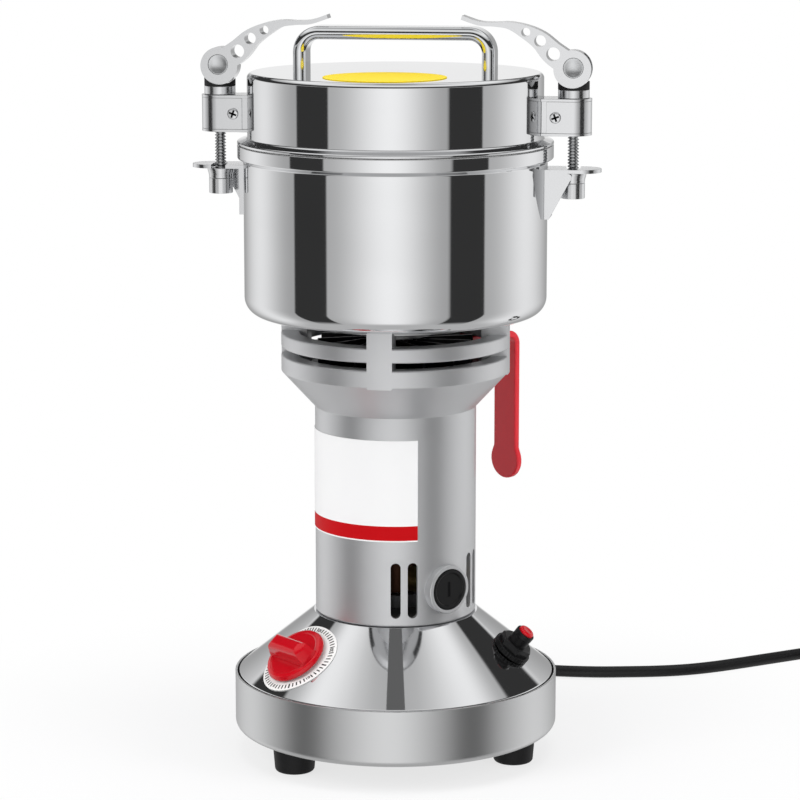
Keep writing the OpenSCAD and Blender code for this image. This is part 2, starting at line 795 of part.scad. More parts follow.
// Casting: column, flare, rim, ring between the air slots and the four pillars
module motor_housing() {
    color("#b9bcc2") difference() {
        union() {
            turned([[bore_r, col_z, 0], [col_r, col_z, col_edge_r], [col_r, flare_z, col_wall],
                [flange_r, rim_z, rim_edge_r],
                [flange_r, slot_z, rim_edge_r / 2], [rim_bore_r, slot_z, 0], [rim_bore_r, rim_z, col_wall],
                [bore_r, flare_z + col_wall, col_wall]]);
            turned([[ring_bore_r, mid_ring_z, 0], [flange_r, mid_ring_z, rim_edge_r / 2],
                [flange_r, mid_ring_top, rim_edge_r / 2],
                [ring_bore_r, mid_ring_top, 0]]);
            intersection() {
                union() {
                    ring(flange_r - snug, shelf_r, slot_z - rim_h / 2, pot_z - slot_z + rim_h / 2);
                    ring(flange_r - rim_edge_r, pillar_bore_r, slot_z - rim_h / 2,
                        pot_z - shelf_h - slot_z + rim_h / 2);
                }
                for (i = [0 : 1])
                    rotate([0, 0, 90 * i]) translate([-flange_r, -pillar_w / 2, 0])
                        cube([flange_d, pillar_w, pot_z + over]);
            }
            difference() {
                both_brushes() translate([0, 0, bore_r]) cylinder(r = boss_r, h = col_wall + boss_proud);
                cylinder(r = bore_r, h = pot_z);
            }
        }
        for (az = vent_azs) for (side = [0, 180])
            facing(az + side) translate([0, 0, col_z + vent_rise]) vent();
        both_brushes() cylinder(r = holder_r + snug, h = col_r);
        both_brushes() translate([0, 0, col_r + boss_proud - cap_t])
            cylinder(r = cap_r + snug, h = cap_t + over);
        carry_screw_places() translate([0, 0, -carry_screw_len - over])
            cylinder(r = carry_screw_r + snug, h = carry_screw_len + 2 * over);
        pot_screw_places() translate([0, 0, -pot_screw_len])
            cylinder(r = pot_screw_r + snug, h = pot_screw_len + over);
    }
}

// Places of the two screws of the carry handle, on top of the middle ring
module carry_screw_places() {
    for (side = [-1, 1])
        facing(carry_az) translate([carry_screw_circle_r, side * carry_screw_pitch / 2, mid_ring_top])
            children();
}

// Places of the four screws that hold the pot, on the pot's floor
module pot_screw_places() {
    for (i = [0 : 3])
        rotate([0, 0, 90 * i]) translate([pot_screw_circle_r, 0, pot_z + pot_t]) children();
}

module housing_screws() {
    color("silver") {
        carry_screw_places() {
            translate([0, 0, -carry_screw_len]) cylinder(r = carry_screw_r, h = carry_screw_len);
            cylinder(r = carry_screw_head_r, h = carry_screw_head_h);
        }
        pot_screw_places() {
            translate([0, 0, snug - pot_screw_len]) cylinder(r = pot_screw_r, h = pot_screw_len);
            translate([0, 0, snug]) cylinder(r = pot_screw_head_r, h = pot_screw_head_h);
        }
    }
}

// Bare plate that lies on the column
module label_plate() {
    color("white") translate([0, 0, col_z + label_rise]) rotate([0, 0, label_az - label_span / 2 - 90])
        rotate_extrude(angle = label_span) translate([col_r + snug, 0]) square([label_t, label_h]);
}

// Screwed cap over each brush, with a slot for a screwdriver
module brush_caps() {
    color("#161618") both_brushes() translate([0, 0, col_r + boss_proud - cap_t + snug]) difference() {
        turned([[0, 0, 0], [cap_r, 0, 0], [cap_r, cap_t, cap_slot.z], [0, cap_t, 0]]);
        translate([-cap_slot.x / 2, -cap_slot.y / 2, cap_t - cap_slot.z])
            cube([cap_slot.x, cap_slot.y, cap_slot.z + over]);
    }
}

module brush_holders() {
    far = col_r + boss_proud - cap_t - clear;
    color("darkgoldenrod") both_brushes() translate([0, 0, commutator_r + over]) difference() {
        cylinder(r = holder_r, h = far - commutator_r - over);
        translate([0, 0, -over]) cylinder(r = holder_bore_r, h = far);
    }
}

module carbon_brushes() {
    color("#2a2a2c") both_brushes() translate([0, 0, commutator_r + clear])
        cylinder(r = brush_r, h = brush_len);
}

// Brush springs as stacks of round turns on the brushes' axes
module brush_springs() {
    start = commutator_r + clear + brush_len;
    len = col_r + boss_proud - cap_t - start;
    color("silver") both_brushes() translate([0, 0, start])
        linear_extrude(height = len) difference() {
            circle(r = brush_r - spring_wire_r);
            circle(r = brush_r - 3 * spring_wire_r);
        }
}

// Laminated core with a yoke and two poles
module stator_core() {
    bore = armature_r + air_gap;
    color("#8a8d92") {
        ring(bore_r - clear, yoke_r, core_z, core_h);
        intersection() {
            ring(yoke_r + over, bore, core_z, core_h);
            translate([-bore_r, -pole_w / 2, core_z]) cube([2 * bore_r, pole_w, core_h]);
        }
    }
}

// Field coil round each pole
module stator_coils() {
    mid = core_z + core_h / 2;
    coil_h = core_h + 2 * coil_over;
    color("peru") for (side = [0, 180])
        rotate([0, 0, side]) intersection() {
            translate([coil_in_r, 0, mid]) rotate([0, 90, 0]) linear_extrude(height = yoke_r - coil_in_r)
                difference() {
                polygon(rounded([for (c = [[1, 1], [-1, 1], [-1, -1], [1, -1]]) [c.x * coil_h / 2,
                    c.y * coil_w / 2, coil_over / 2]]));
                square([core_h + 2 * clear, pole_w + 2 * clear], center = true);
            }
            translate([0, 0, mid - coil_h]) cylinder(r = yoke_r - clear, h = 2 * coil_h);
        }
}

module bearing_bracket() {
    color("#9a9da2") translate([0, 0, col_z]) difference() {
        union() {
            cylinder(r = bore_r - clear, h = bracket_t);
            cylinder(r = bracket_hub_r, h = bracket_hub_h);
        }
        translate([0, 0, bracket_hub_h - lower_bearing_h])
            cylinder(r = lower_bearing_r + snug, h = lower_bearing_h + over);
    }
}

// Ball bearing as one ring with grooves between its races
module bearing(outer_r, z, h) {
    mid = (outer_r + shaft_r) / 2;
    color("silver") difference() {
        ring(outer_r, shaft_r + snug, z, h);
        for (face = [z - over, z + h - race_groove_r / 2])
            ring(mid + race_groove_r, mid - race_groove_r, face, over + race_groove_r / 2);
    }
}

module lower_bearing() {
    bearing(lower_bearing_r, col_z + bracket_hub_h - lower_bearing_h, lower_bearing_h);
}

// Plate on the pillars that carries the upper bearing in its hub
module bearing_plate() {
    top = pot_z;
    color("#9a9da2") difference() {
        union() {
            translate([0, 0, top - shelf_h]) cylinder(r = shelf_r - clear, h = shelf_h);
            translate([0, 0, top - plate_hub_h]) cylinder(r = plate_hub_r, h = plate_hub_h);
        }
        translate([0, 0, top - plate_hub_h - over])
            cylinder(r = upper_bearing_r + snug, h = plate_hub_h - plate_lip_t + over);
        translate([0, 0, top - plate_hub_h]) cylinder(r = plate_lip_r, h = plate_hub_h + over);
    }
}

module upper_bearing() {
    bearing(upper_bearing_r, pot_z - plate_lip_t - upper_bearing_h, upper_bearing_h);
}

// Shaft with a thinner threaded end for the blades
module motor_shaft() {
    foot = col_z + bracket_hub_h - lower_bearing_h + snug;
    color("silver") {
        translate([0, 0, foot]) cylinder(r = shaft_r, h = blade_z - foot);
        translate([0, 0, blade_z]) cylinder(r = stud_r, h = 2 * blade_t + blade_nut_h + 4 * snug);
    }
}

// Slotted core and windings, pressed on the shaft
module armature() {
    color("#a0643c") difference() {
        union() {
            translate([0, 0, core_z]) cylinder(r = armature_r, h = core_h);
            translate([0, 0, core_z - winding_h]) turned([[0, 0, 0], [winding_r, 0, winding_h / 3],
                [winding_r, core_h + 2 * winding_h, winding_h / 3], [0, core_h + 2 * winding_h, 0]]);
        }
        cylinder(r = shaft_r + snug, h = pot_z);
        for (i = [0 : armature_slots - 1])
            rotate([0, 0, 360 * i / armature_slots]) translate([armature_r, 0, core_z - over])
                cylinder(r = armature_slot_r, h = core_h + 2 * over);
    }
}

module commutator() {
    color("#b06a38") ring(commutator_r, shaft_r + snug, brush_z - commutator_h / 2, commutator_h);
}

// Fan with swept blades under the pot
module cooling_fan() {
    color("#4a4c50") translate([0, 0, fan_z]) difference() {
        union() {
            cylinder(r = fan_r, h = fan_plate_t);
            cylinder(r = fan_hub_r, h = fan_plate_t + fan_blade_h - joint_gap);
            for (i = [0 : fan_blades - 1])
                rotate([0, 0, 360 * i / fan_blades]) translate([fan_blade_in_r, 0, 0])
                    rotate([0, 0, fan_sweep])
                    translate([0, -fan_blade_t / 2, 0]) cube([fan_r * fan_blade_share, fan_blade_t,
                        fan_plate_t + fan_blade_h]);
        }
        translate([0, 0, -over]) cylinder(r = shaft_r + snug, h = fan_plate_t + fan_blade_h + 2 * over);
    }
}

// Section of the carry handle's strap: flat with round edges
module strap_section(w) {
    polygon(rounded([for (c = [[1, 1], [-1, 1], [-1, -1], [1, -1]]) [c.x * carry_t / 2, c.y * w / 2,
        carry_edge_r]]));
}

// Strap handle: flat arm in the air slot, bend, and hanging grip with a round end
module carry_handle() {
    axis_r = carry_reach - carry_t / 2;
    bend_r = carry_bend_r;
    low = carry_z + carry_t / 2 - carry_drop + carry_end_r;
    color("#c8141c") facing(carry_az) difference() {
        union() {
            translate([carry_root_r, 0, carry_z]) rotate([0, 90, 0])
                linear_extrude(height = axis_r - bend_r - carry_root_r) strap_section(carry_w);
            translate([axis_r - bend_r, 0, carry_z - bend_r]) rotate([90, 0, 0])
                rotate_extrude(angle = 90) translate([bend_r, 0]) strap_section(carry_w);
            translate([axis_r, 0, low]) linear_extrude(height = carry_z - bend_r - low)
                strap_section(carry_w);
            translate([axis_r - carry_end_t / 2, 0, low]) rotate([0, 90, 0])
                turned([[0, 0, 0], [carry_end_r, 0, carry_edge_r],
                [carry_end_r, carry_end_t, carry_edge_r], [0, carry_end_t, 0]]);
        }
        for (side = [-1, 1])
            translate([carry_screw_circle_r, side * carry_screw_pitch / 2, carry_z - carry_t])
                cylinder(r = carry_screw_r + snug, h = 2 * carry_t);
    }
}

// Pot with its wider collar
module pot() {
    color("gainsboro") difference() {
        turned([[seal_r, pot_z, 0], [pot_r, pot_z, pot_edge_r],
            [pot_r, collar_z - collar_step / 2, collar_step / 3],
            [collar_r, collar_z + collar_step / 2, collar_step / 3], [collar_r, pot_top, pot_t / 3],
            [collar_r - pot_t, pot_top, pot_t / 3], [collar_r - pot_t,
                collar_z + collar_step / 2 + pot_t / 3, 0],
            [pot_r - pot_t, collar_z - collar_step / 2 + pot_t / 3, 0],
                [pot_r - pot_t, pot_z + pot_t, pot_edge_r - pot_t],
            [seal_r, pot_z + pot_t, 0]]);
        pot_screw_places() translate([0, 0, -pot_t - over])
            cylinder(r = pot_screw_r + snug, h = pot_t + 2 * over);
    }
}

module shaft_seal() {
    color("#2c2c2e") translate([0, 0, seal_z]) difference() {
        turned([[0, 0, 0], [seal_body_r, 0, 0], [seal_body_r, seal_h / 3, seal_h / 6],
            [spacer_r, seal_h, seal_h / 6], [0, seal_h, 0]]);
        translate([0, 0, -over]) cylinder(r = shaft_r + 2 * snug, h = seal_h + 2 * over);
    }
}

module blade_spacer() {
    color("silver") ring(spacer_r, shaft_r + snug, spacer_z, spacer_h - snug);
}

// Two-armed blade whose ends slope by a rise over a reach, ground along each arm's leading edge
module blade(z, reach, rise) {
    slope = atan2(rise, reach);
    half = [[blade_bend_r, 0], [blade_bend_r + reach, rise],
        [blade_bend_r + reach - blade_t * sin(slope), rise + blade_t * cos(slope)],
        [blade_bend_r - blade_t * tan(slope / 2), blade_t]];
    translate([0, 0, z]) difference() {
        translate([0, blade_w / 2, 0]) rotate([90, 0, 0]) linear_extrude(height = blade_w)
            polygon(concat(half, [for (i = [3 : -1 : 0]) [-half[i].x, half[i].y]]));
        for (side = [0, 180])
            rotate([0, 0, side]) translate([blade_bend_r, 0, 0]) rotate([0, -slope, 0])
                blade_grind(norm([reach, rise]));
        translate([0, 0, -over]) cylinder(r = stud_r + snug, h = blade_t + 2 * over);
    }
}

// What is ground off a blade's arm of a given length
module blade_grind(length) {
    translate([blade_edge_w, 0, 0]) rotate([90, 0, 90]) linear_extrude(height = length)
        polygon([[blade_w / 2 - blade_edge_w, blade_t],
            [blade_w / 2 + blade_edge_w, -blade_t * blade_edge_share],
            [blade_w / 2 + blade_edge_w, blade_t + over], [blade_w / 2 - blade_edge_w, blade_t + over]]);
}

module blades() {
    color("silver") {
        blade(blade_z + snug, lower_blade_reach, -lower_blade_dip);
        rotate([0, 0, 90]) blade(blade_z + blade_t + 2 * snug, upper_blade_reach, upper_blade_lift);
    }
}

module blade_nut() {
    color("silver") translate([0, 0, blade_z + 2 * blade_t + 3 * snug]) difference() {
        cylinder(r = blade_nut_r, h = blade_nut_h, $fn = 6);
        translate([0, 0, -over]) cylinder(r = stud_r + snug, h = blade_nut_h + 2 * over);
    }
}

// Lid: top, wall, bead that rests over the collar and spigot inside it
module lid() {
    color("gainsboro")
        turned([[lid_r - lid_t, lid_bead_z - lid_spigot_h, 0], [lid_r, lid_bead_z - lid_spigot_h, 0],
            [lid_r, lid_bead_z, 0],
            [collar_r, lid_bead_z, lid_t / 2], [collar_r, lid_bead_z + lid_t, lid_t / 2],
                [lid_r, lid_bead_z + lid_bead_h, lid_bead_h / 3],
            [lid_r, lid_top, lid_edge_r], [0, lid_top, 0], [0, lid_top - lid_t, 0],
                [lid_r - lid_t, lid_top - lid_t, lid_edge_r - lid_t]]);
}

// Silicone seal round the lid's spigot
module lid_seal() {
    seal_h = lid_spigot_h - joint_gap;
    color("whitesmoke") translate([0, 0, lid_bead_z - seal_h])
        difference() {
            turned([[0, 0, 0], [lid_r + lid_seal_w, 0, lid_seal_w / 3], [lid_r + lid_seal_w, seal_h, 0],
                [0, seal_h, 0]]);
            translate([0, 0, -over]) cylinder(r = lid_r + snug, h = seal_h + 2 * over);
        }
}

// Section of the lid handle's bar: flat with round ends
module bar_section() {
    polygon(rounded([for (c = [[1, 1], [-1, 1], [-1, -1], [1, -1]]) [c.x * bar_t / 2, c.y * bar_w / 2,
        bar_round_share * bar_t]]));
}

// U-shaped bar on the lid
module lid_handle() {
    axis_x = handle_span / 2 - bar_t / 2;
    axis_h = handle_h - bar_t / 2;
    bend = bar_bend_r - bar_t / 2;
    color("silver") translate([0, 0, lid_top]) {
        for (side = [0, 180]) rotate([0, 0, side]) {
            translate([axis_x, 0, 0]) linear_extrude(height = axis_h - bend) bar_section();
            translate([axis_x - bend, 0, axis_h - bend]) rotate([90, 0, 0])
                rotate_extrude(angle = 90) translate([bend, 0]) bar_section();
        }
        translate([bend - axis_x, 0, axis_h]) rotate([0, 90, 0])
            linear_extrude(height = 2 * (axis_x - bend)) bar_section();
    }
}

module lid_disc() {
    color("gold") translate([0, -disc_setback, lid_top]) cylinder(r = disc_d / 2, h = disc_t);
}

// Column of a latch's outline: straight sides from the lid and a round end about the rod
module latch_form(half_w, start, z, h) {
    translate([latch_x, 0, z]) cylinder(r = half_w, h = h);
    translate([start, -half_w, z]) cube([latch_x - start, 2 * half_w, h]);
}

// Block between the lid and the rod, with a flange above and below the strap
module latch_blocks() {
    color("silver") both_latches() difference() {
        union() {
            latch_form(block_half_w, lid_r - over, block_z, block_flange_t);
            latch_form(block_half_w, lid_r - over, block_top - block_flange_t, block_flange_t);
            latch_form(block_half_w - strap_t - snug, lid_r - over, block_z, block_h);
        }
        cylinder(r = lid_r + snug, h = lid_top);
        translate([latch_x, 0, block_z - over]) cylinder(r = rod_r + 1.5 * snug, h = block_h + 2 * over);
        strap_screw_bore();
    }
}

module strap_screw_bore() {
    translate([strap_screw_x, block_half_w + over, block_z + block_h / 2]) rotate([90, 0, 0])
        cylinder(r = strap_screw_r + snug, h = 2 * block_half_w + 2 * over);
}

// Folded sheet round each block
module latch_straps() {
    low = block_z + block_flange_t + snug;
    h = block_h - 2 * (block_flange_t + snug);
    start = lid_r + strap_end_share * block_len;
    color("gainsboro") both_latches() difference() {
        latch_form(block_half_w - snug, start, low, h);
        latch_form(block_half_w - strap_t, start - over, low - over, h + 2 * over);
        strap_screw_bore();
    }
}

module strap_screws() {
    color("silver") both_latches() translate([strap_screw_x, -block_half_w, block_z + block_h / 2])
        rotate([-90, 0, 0]) {
        translate([0, 0, -strap_head_h]) turned([[0, 0, 0], [strap_head_r, 0, strap_head_h / 2],
            [strap_head_r, strap_head_h, 0], [0, strap_head_h, 0]]);
        cylinder(r = strap_screw_r, h = 2 * block_half_w);
        translate([0, 0, 2 * block_half_w]) cylinder(r = strap_head_r, h = strap_head_h);
    }
}

module latch_collars() {
    color("silver") both_latches() translate([latch_x, 0, 0])
        ring(latch_collar_r, rod_r + 1.5 * snug, block_top, latch_collar_h);
}

// Pad with a hollow that the cam's head turns in
module cam_pads() {
    color("#161618") both_latches() difference() {
        translate([latch_x, 0, 0]) ring(latch_collar_r, rod_r + 1.5 * snug, pad_z, pad_h);
        translate([pad_recess_x, latch_collar_r + over, pad_z + pad_floor_t + pad_recess_r])
            rotate([90, 0, 0])
            cylinder(r = pad_recess_r, h = 2 * (latch_collar_r + over));
    }
}

// Threaded rod, here its plain core, from below its nut up into the cross pin
module clamp_rod() {
    color("silver") translate([latch_x, 0, nut_z - rod_foot])
        cylinder(r = rod_r, h = pin_z - nut_z + rod_foot - over);
}

module cross_pin() {
    color("gainsboro") translate([latch_x, 0, pin_z]) difference() {
        translate([0, lever_w / 2, 0]) rotate([90, 0, 0]) cylinder(r = pin_r, h = lever_w);
        for (side = [-1, 1])
            translate([0, side * (lever_w / 2 + dish_ball_r - pin_dish_h), 0]) sphere(r = dish_ball_r);
        translate([0, 0, -pin_r - over]) cylinder(r = rod_r + snug, h = pin_r + snug);
    }
}

// Side of the lever's outline: spine points moved square to the spine by their half widths
function lever_side(spine, side) = [for (i = [0 : len(spine) - 1])
    let (knot = spine[i], t = heading([for (p = spine) [p.x, p.y]], i))
    [knot.x - side * knot.z * t.y, knot.y + side * knot.z * t.x]];

// Cam lever: head round the pin, pierced arm and thin turned-up tail
module cam_lever() {
    reach = lever_reach;
    spine = smooth([for (s = spine_shares) [latch_x - reach * s.x, pin_z + lever_rise * s.y, head_r * s.z]],
        arc_steps);
    sides = [lever_side(spine, 1), lever_side(spine, -1)];
    color("gainsboro") difference() {
        union() {
            translate([head_x, lever_w / 2, head_z]) rotate([90, 0, 0]) cylinder(r = head_r, h = lever_w);
            translate([0, lever_w / 2, 0]) rotate([90, 0, 0]) linear_extrude(height = lever_w)
                polygon(concat(sides[0], [for (i = [len(spine) - 1 : -1 : 0]) sides[1][i]]));
        }
        translate([latch_x, lever_w, pin_z]) rotate([90, 0, 0]) cylinder(r = pin_r + snug, h = 2 * lever_w);
        for (s = hole_shares)
            translate([latch_x - reach * s.x, lever_w, pin_z + lever_rise * s.y]) rotate([90, 0, 0])
                cylinder(r = head_r * s.z, h = 2 * lever_w);
        translate([latch_x - head_slot_w / 2, -head_slot_w / 2, pin_z - 2 * head_r])
            cube([2 * head_r, head_slot_w, 2 * head_r + head_slot_rise]);
    }
}

module clamp_nut() {
    top = nut_z + nut_h;
    color("silver") difference() {
        translate([latch_x, 0, 0]) turned([[0, nut_z, 0], [nut_body_r, nut_z, nut_flange_h / 2],
            [nut_body_r, top - nut_flange_h - nut_neck_h, 0], [nut_flange_r, top - nut_flange_h, 0],
            [nut_flange_r, top, 0], [0, top, 0]]);
        translate([latch_x, 0, nut_z - over]) cylinder(r = rod_r + 1.5 * snug, h = nut_h + 2 * over);
    }
}

module rod_right() clamp_rod();
module rod_left() mirror([1, 0, 0]) clamp_rod();
module cross_pin_right() cross_pin();
module cross_pin_left() mirror([1, 0, 0]) cross_pin();
module lever_right() cam_lever();
module lever_left() mirror([1, 0, 0]) cam_lever();
module clamp_nut_right() clamp_nut();
module clamp_nut_left() mirror([1, 0, 0]) clamp_nut();

// Bracket on the pot: leaf on the wall, slotted plate that the nut pulls against, and gusset
module fork_bracket() {
    leaf_z = fork_top - fork_t - gusset_h;
    slot_r = rod_r + fork_slot_play;
    round_x = latch_x + fork_reach - fork_half_w;
    difference() {
        union() {
            translate([pot_r - over, -fork_half_w, fork_top - fork_t])
                cube([round_x - pot_r + over, 2 * fork_half_w, fork_t]);
            translate([round_x, 0, fork_top - fork_t]) cylinder(r = fork_half_w, h = fork_t);
            translate([pot_r - over, -fork_half_w, leaf_z])
                cube([leaf_t + over, 2 * fork_half_w, fork_top - leaf_z]);
            translate([pot_r, gusset_t - fork_half_w, leaf_z]) rotate([90, 0, 0])
                linear_extrude(height = gusset_t)
                polygon(rounded([[0, 0, 0], [leaf_t, 0, 0], [leaf_t + gusset_reach, gusset_h, gusset_t],
                    [0, gusset_h, 0]]));
        }
        cylinder(r = pot_r + snug, h = pot_top);
        translate([0, 0, fork_top - fork_t - over]) {
            rotate_extrude(angle = fork_swing) translate([latch_x - slot_r, 0])
                square([2 * slot_r, fork_t + 2 * over]);
            translate([latch_x, 0, 0]) cylinder(r = slot_r, h = fork_t + 2 * over);
        }
    }
}

module fork_brackets() {
    color("silver") for (side = [0, 180])
        rotate([0, 0, side]) fork_bracket();
}

base_ring();
base_cone();
base_plate();
rubber_feet();
foot_screws();
timer_body();
timer_nut();
timer_dial();
timer_shaft();
timer_knob();
breaker_body();
breaker_ring_nut();
breaker_hex_nut();
breaker_button();
cord_gland();
power_cord();
cord_coil();
plug();
plug_blades();
motor_housing();
label_plate();
brush_caps();
brush_holders();
carbon_brushes();
brush_springs();
stator_core();
stator_coils();
bearing_bracket();
lower_bearing();
bearing_plate();
upper_bearing();
carry_handle();
housing_screws();
motor_shaft();
armature();
commutator();
cooling_fan();
pot();
fork_brackets();
shaft_seal();
blade_spacer();
blades();
blade_nut();
lid();
lid_seal();
lid_handle();
lid_disc();
latch_blocks();
latch_straps();
strap_screws();
latch_collars();
cam_pads();
rod_right();
rod_left();
cross_pin_right();
cross_pin_left();
lever_right();
lever_left();
clamp_nut_right();
clamp_nut_left();
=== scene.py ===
"""Stand type electric grain mill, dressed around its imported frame.

Sizes are in millimetres and each finished mesh is scaled to metres. Azimuths run
from the front, -Y, towards the right, +X. Heights start at the worktop.
"""

import json
import logging
import math
from dataclasses import dataclass
from enum import Enum
from typing import Iterable, Sequence

import bmesh
import bpy
from mathutils import Matrix, Vector


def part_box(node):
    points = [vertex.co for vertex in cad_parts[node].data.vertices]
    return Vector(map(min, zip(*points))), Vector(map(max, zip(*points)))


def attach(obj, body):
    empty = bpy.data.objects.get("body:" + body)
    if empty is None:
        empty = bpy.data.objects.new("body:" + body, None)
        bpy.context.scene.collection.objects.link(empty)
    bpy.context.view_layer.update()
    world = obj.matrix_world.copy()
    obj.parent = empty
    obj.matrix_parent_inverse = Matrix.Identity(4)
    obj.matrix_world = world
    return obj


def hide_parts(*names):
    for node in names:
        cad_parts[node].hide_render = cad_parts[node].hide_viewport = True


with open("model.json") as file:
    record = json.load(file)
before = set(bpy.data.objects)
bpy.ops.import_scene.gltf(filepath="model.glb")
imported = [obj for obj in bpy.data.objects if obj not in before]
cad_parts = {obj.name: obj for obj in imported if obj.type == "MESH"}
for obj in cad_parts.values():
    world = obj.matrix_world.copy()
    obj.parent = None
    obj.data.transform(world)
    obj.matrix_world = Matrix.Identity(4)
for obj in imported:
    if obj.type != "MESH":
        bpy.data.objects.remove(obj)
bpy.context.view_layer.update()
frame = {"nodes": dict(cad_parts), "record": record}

MM = 0.001
MERGE_MM = 1e-4
DEGENERATE_MM = 1e-5
FLAT_DEGREES = 0.5
log = logging.getLogger("grain_mill")

Colour = tuple[float, float, float]
Corner = tuple[float, float, float]
Point = tuple[float, float]


class Value:
    """A socket whose arithmetic adds Math nodes to its graph."""

    def __init__(self, graph: "Graph", socket: bpy.types.NodeSocket) -> None:
        """Wraps an output socket of a graph."""
        self.graph = graph
        self.socket = socket

    def _math(self, operation: str, first: "Value | float", second: "Value | float") -> "Value":
        """Adds one Math node and returns its result."""
        return self.graph.node("ShaderNodeMath", {"operation": operation}, {0: first, 1: second})

    def __add__(self, other: "Value | float") -> "Value":
        """This value plus another."""
        return self._math("ADD", self, other)

    def __radd__(self, other: float) -> "Value":
        """A number plus this value."""
        return self._math("ADD", other, self)

    def __sub__(self, other: "Value | float") -> "Value":
        """This value less another."""
        return self._math("SUBTRACT", self, other)

    def __rsub__(self, other: float) -> "Value":
        """A number less this value."""
        return self._math("SUBTRACT", other, self)

    def __mul__(self, other: "Value | float") -> "Value":
        """This value times another."""
        return self._math("MULTIPLY", self, other)

    def __rmul__(self, other: float) -> "Value":
        """A number times this value."""
        return self._math("MULTIPLY", other, self)

    def __gt__(self, other: "Value | float") -> "Value":
        """1 where this value is the larger, and 0 elsewhere."""
        return self._math("GREATER_THAN", self, other)

    def __lt__(self, other: "Value | float") -> "Value":
        """1 where this value is the smaller, and 0 elsewhere."""
        return self._math("LESS_THAN", self, other)


class Graph:
    """The nodes of one material or of the world."""

    def __init__(self, tree: bpy.types.NodeTree) -> None:
        """Starts an empty tree."""
        self.tree = tree
        self.tree.nodes.clear()

    def feed(self, socket: bpy.types.NodeSocket, given: "Value | float | Sequence[float]") -> None:
        """Links a value to an input socket, or sets the socket's own number or colour."""
        if isinstance(given, Value):
            self.tree.links.new(given.socket, socket)
        elif isinstance(given, (int, float)):
            socket.default_value = given
        else:
            numbers = tuple(given)
            room = len(socket.default_value)
            socket.default_value = numbers + (1.0,) * (room - len(numbers))

    def node(self, kind: str, settings: dict | None = None, sockets: dict | None = None,
             out: int | str = 0) -> Value:
        """Adds a node of any type.

        Args:
            kind: Blender's name of the node type.
            settings: Properties that are set first. "stops" gives a ramp's (place, colour) pairs.
            sockets: Numbers, colours or values for the input sockets, by index or name.
            out: Output that the result wraps.

        Returns:
            The chosen output.
        """
        made = self.tree.nodes.new(kind)
        for name, setting in (settings or {}).items():
            if name == "stops":
                self._set_stops(made.color_ramp, setting)
            else:
                setattr(made, name, setting)
        for key, given in (sockets or {}).items():
            self.feed(made.inputs[key], given)
        return Value(self, made.outputs[out]) if made.outputs else Value(self, None)

    @staticmethod
    def _set_stops(ramp: bpy.types.ColorRamp, stops: Sequence[tuple[float, Colour]]) -> None:
        """Gives a colour ramp its stops."""
        ramp.interpolation = "EASE"
        while len(ramp.elements) < len(stops):
            ramp.elements.new(1.0)
        for element, (place, colour) in zip(ramp.elements, stops):
            element.position = place
            element.color = (*colour, 1.0)

    def place(self) -> Value:
        """Object coordinates, in metres."""
        return self.node("ShaderNodeTexCoord", out="Object")

    def axis(self, vector: Value, index: int) -> Value:
        """One coordinate of a vector: 0, 1 or 2."""
        return self.node("ShaderNodeSeparateXYZ", sockets={0: vector}, out=index)

    def scaled(self, vector: Value, scale: Sequence[float]) -> Value:
        """A vector with each coordinate scaled."""
        return self.node("ShaderNodeVectorMath", {"operation": "MULTIPLY"}, {0: vector, 1: scale})

    def noise(self, vector: Value, scale: float, detail: float = 3.0, rough: float = 0.5) -> Value:
        """Soft noise from 0 to 1."""
        return self.node("ShaderNodeTexNoise", sockets={
            "Vector": vector, "Scale": scale, "Detail": detail, "Roughness": rough})

    def ramp(self, amount: Value, low: float, high: float) -> Value:
        """0 below low, 1 above high and smooth between them."""
        return self.node("ShaderNodeMapRange", {"interpolation_type": "SMOOTHSTEP"},
                         {"Value": amount, "From Min": low, "From Max": high})

    def blend(self, amount: "Value | float", first: "Value | Colour", second: "Value | Colour") -> Value:
        """A mix of two colours."""
        return self.node("ShaderNodeMix", {"data_type": "RGBA"}, {0: amount, 6: first, 7: second}, out=2)

    def bump(self, height: Value, depth_mm: float, strength: float = 1.0) -> Value:
        """A normal from a height between 0 and 1 that stands for a depth in millimetres."""
        return self.node("ShaderNodeBump", sockets={
            "Strength": strength, "Distance": depth_mm * MM, "Height": height})

    def seen(self) -> Value:
        """1 where the camera looks, straight or through a mirror or glass, and 0 for the light itself."""
        path = self.node("ShaderNodeLightPath", out="Is Camera Ray")
        glossy = Value(self, path.socket.node.outputs["Is Glossy Ray"])
        clear = Value(self, path.socket.node.outputs["Is Transmission Ray"])
        return self.node("ShaderNodeMath", {"operation": "ADD", "use_clamp": True},
                         {0: path, 1: glossy + clear})


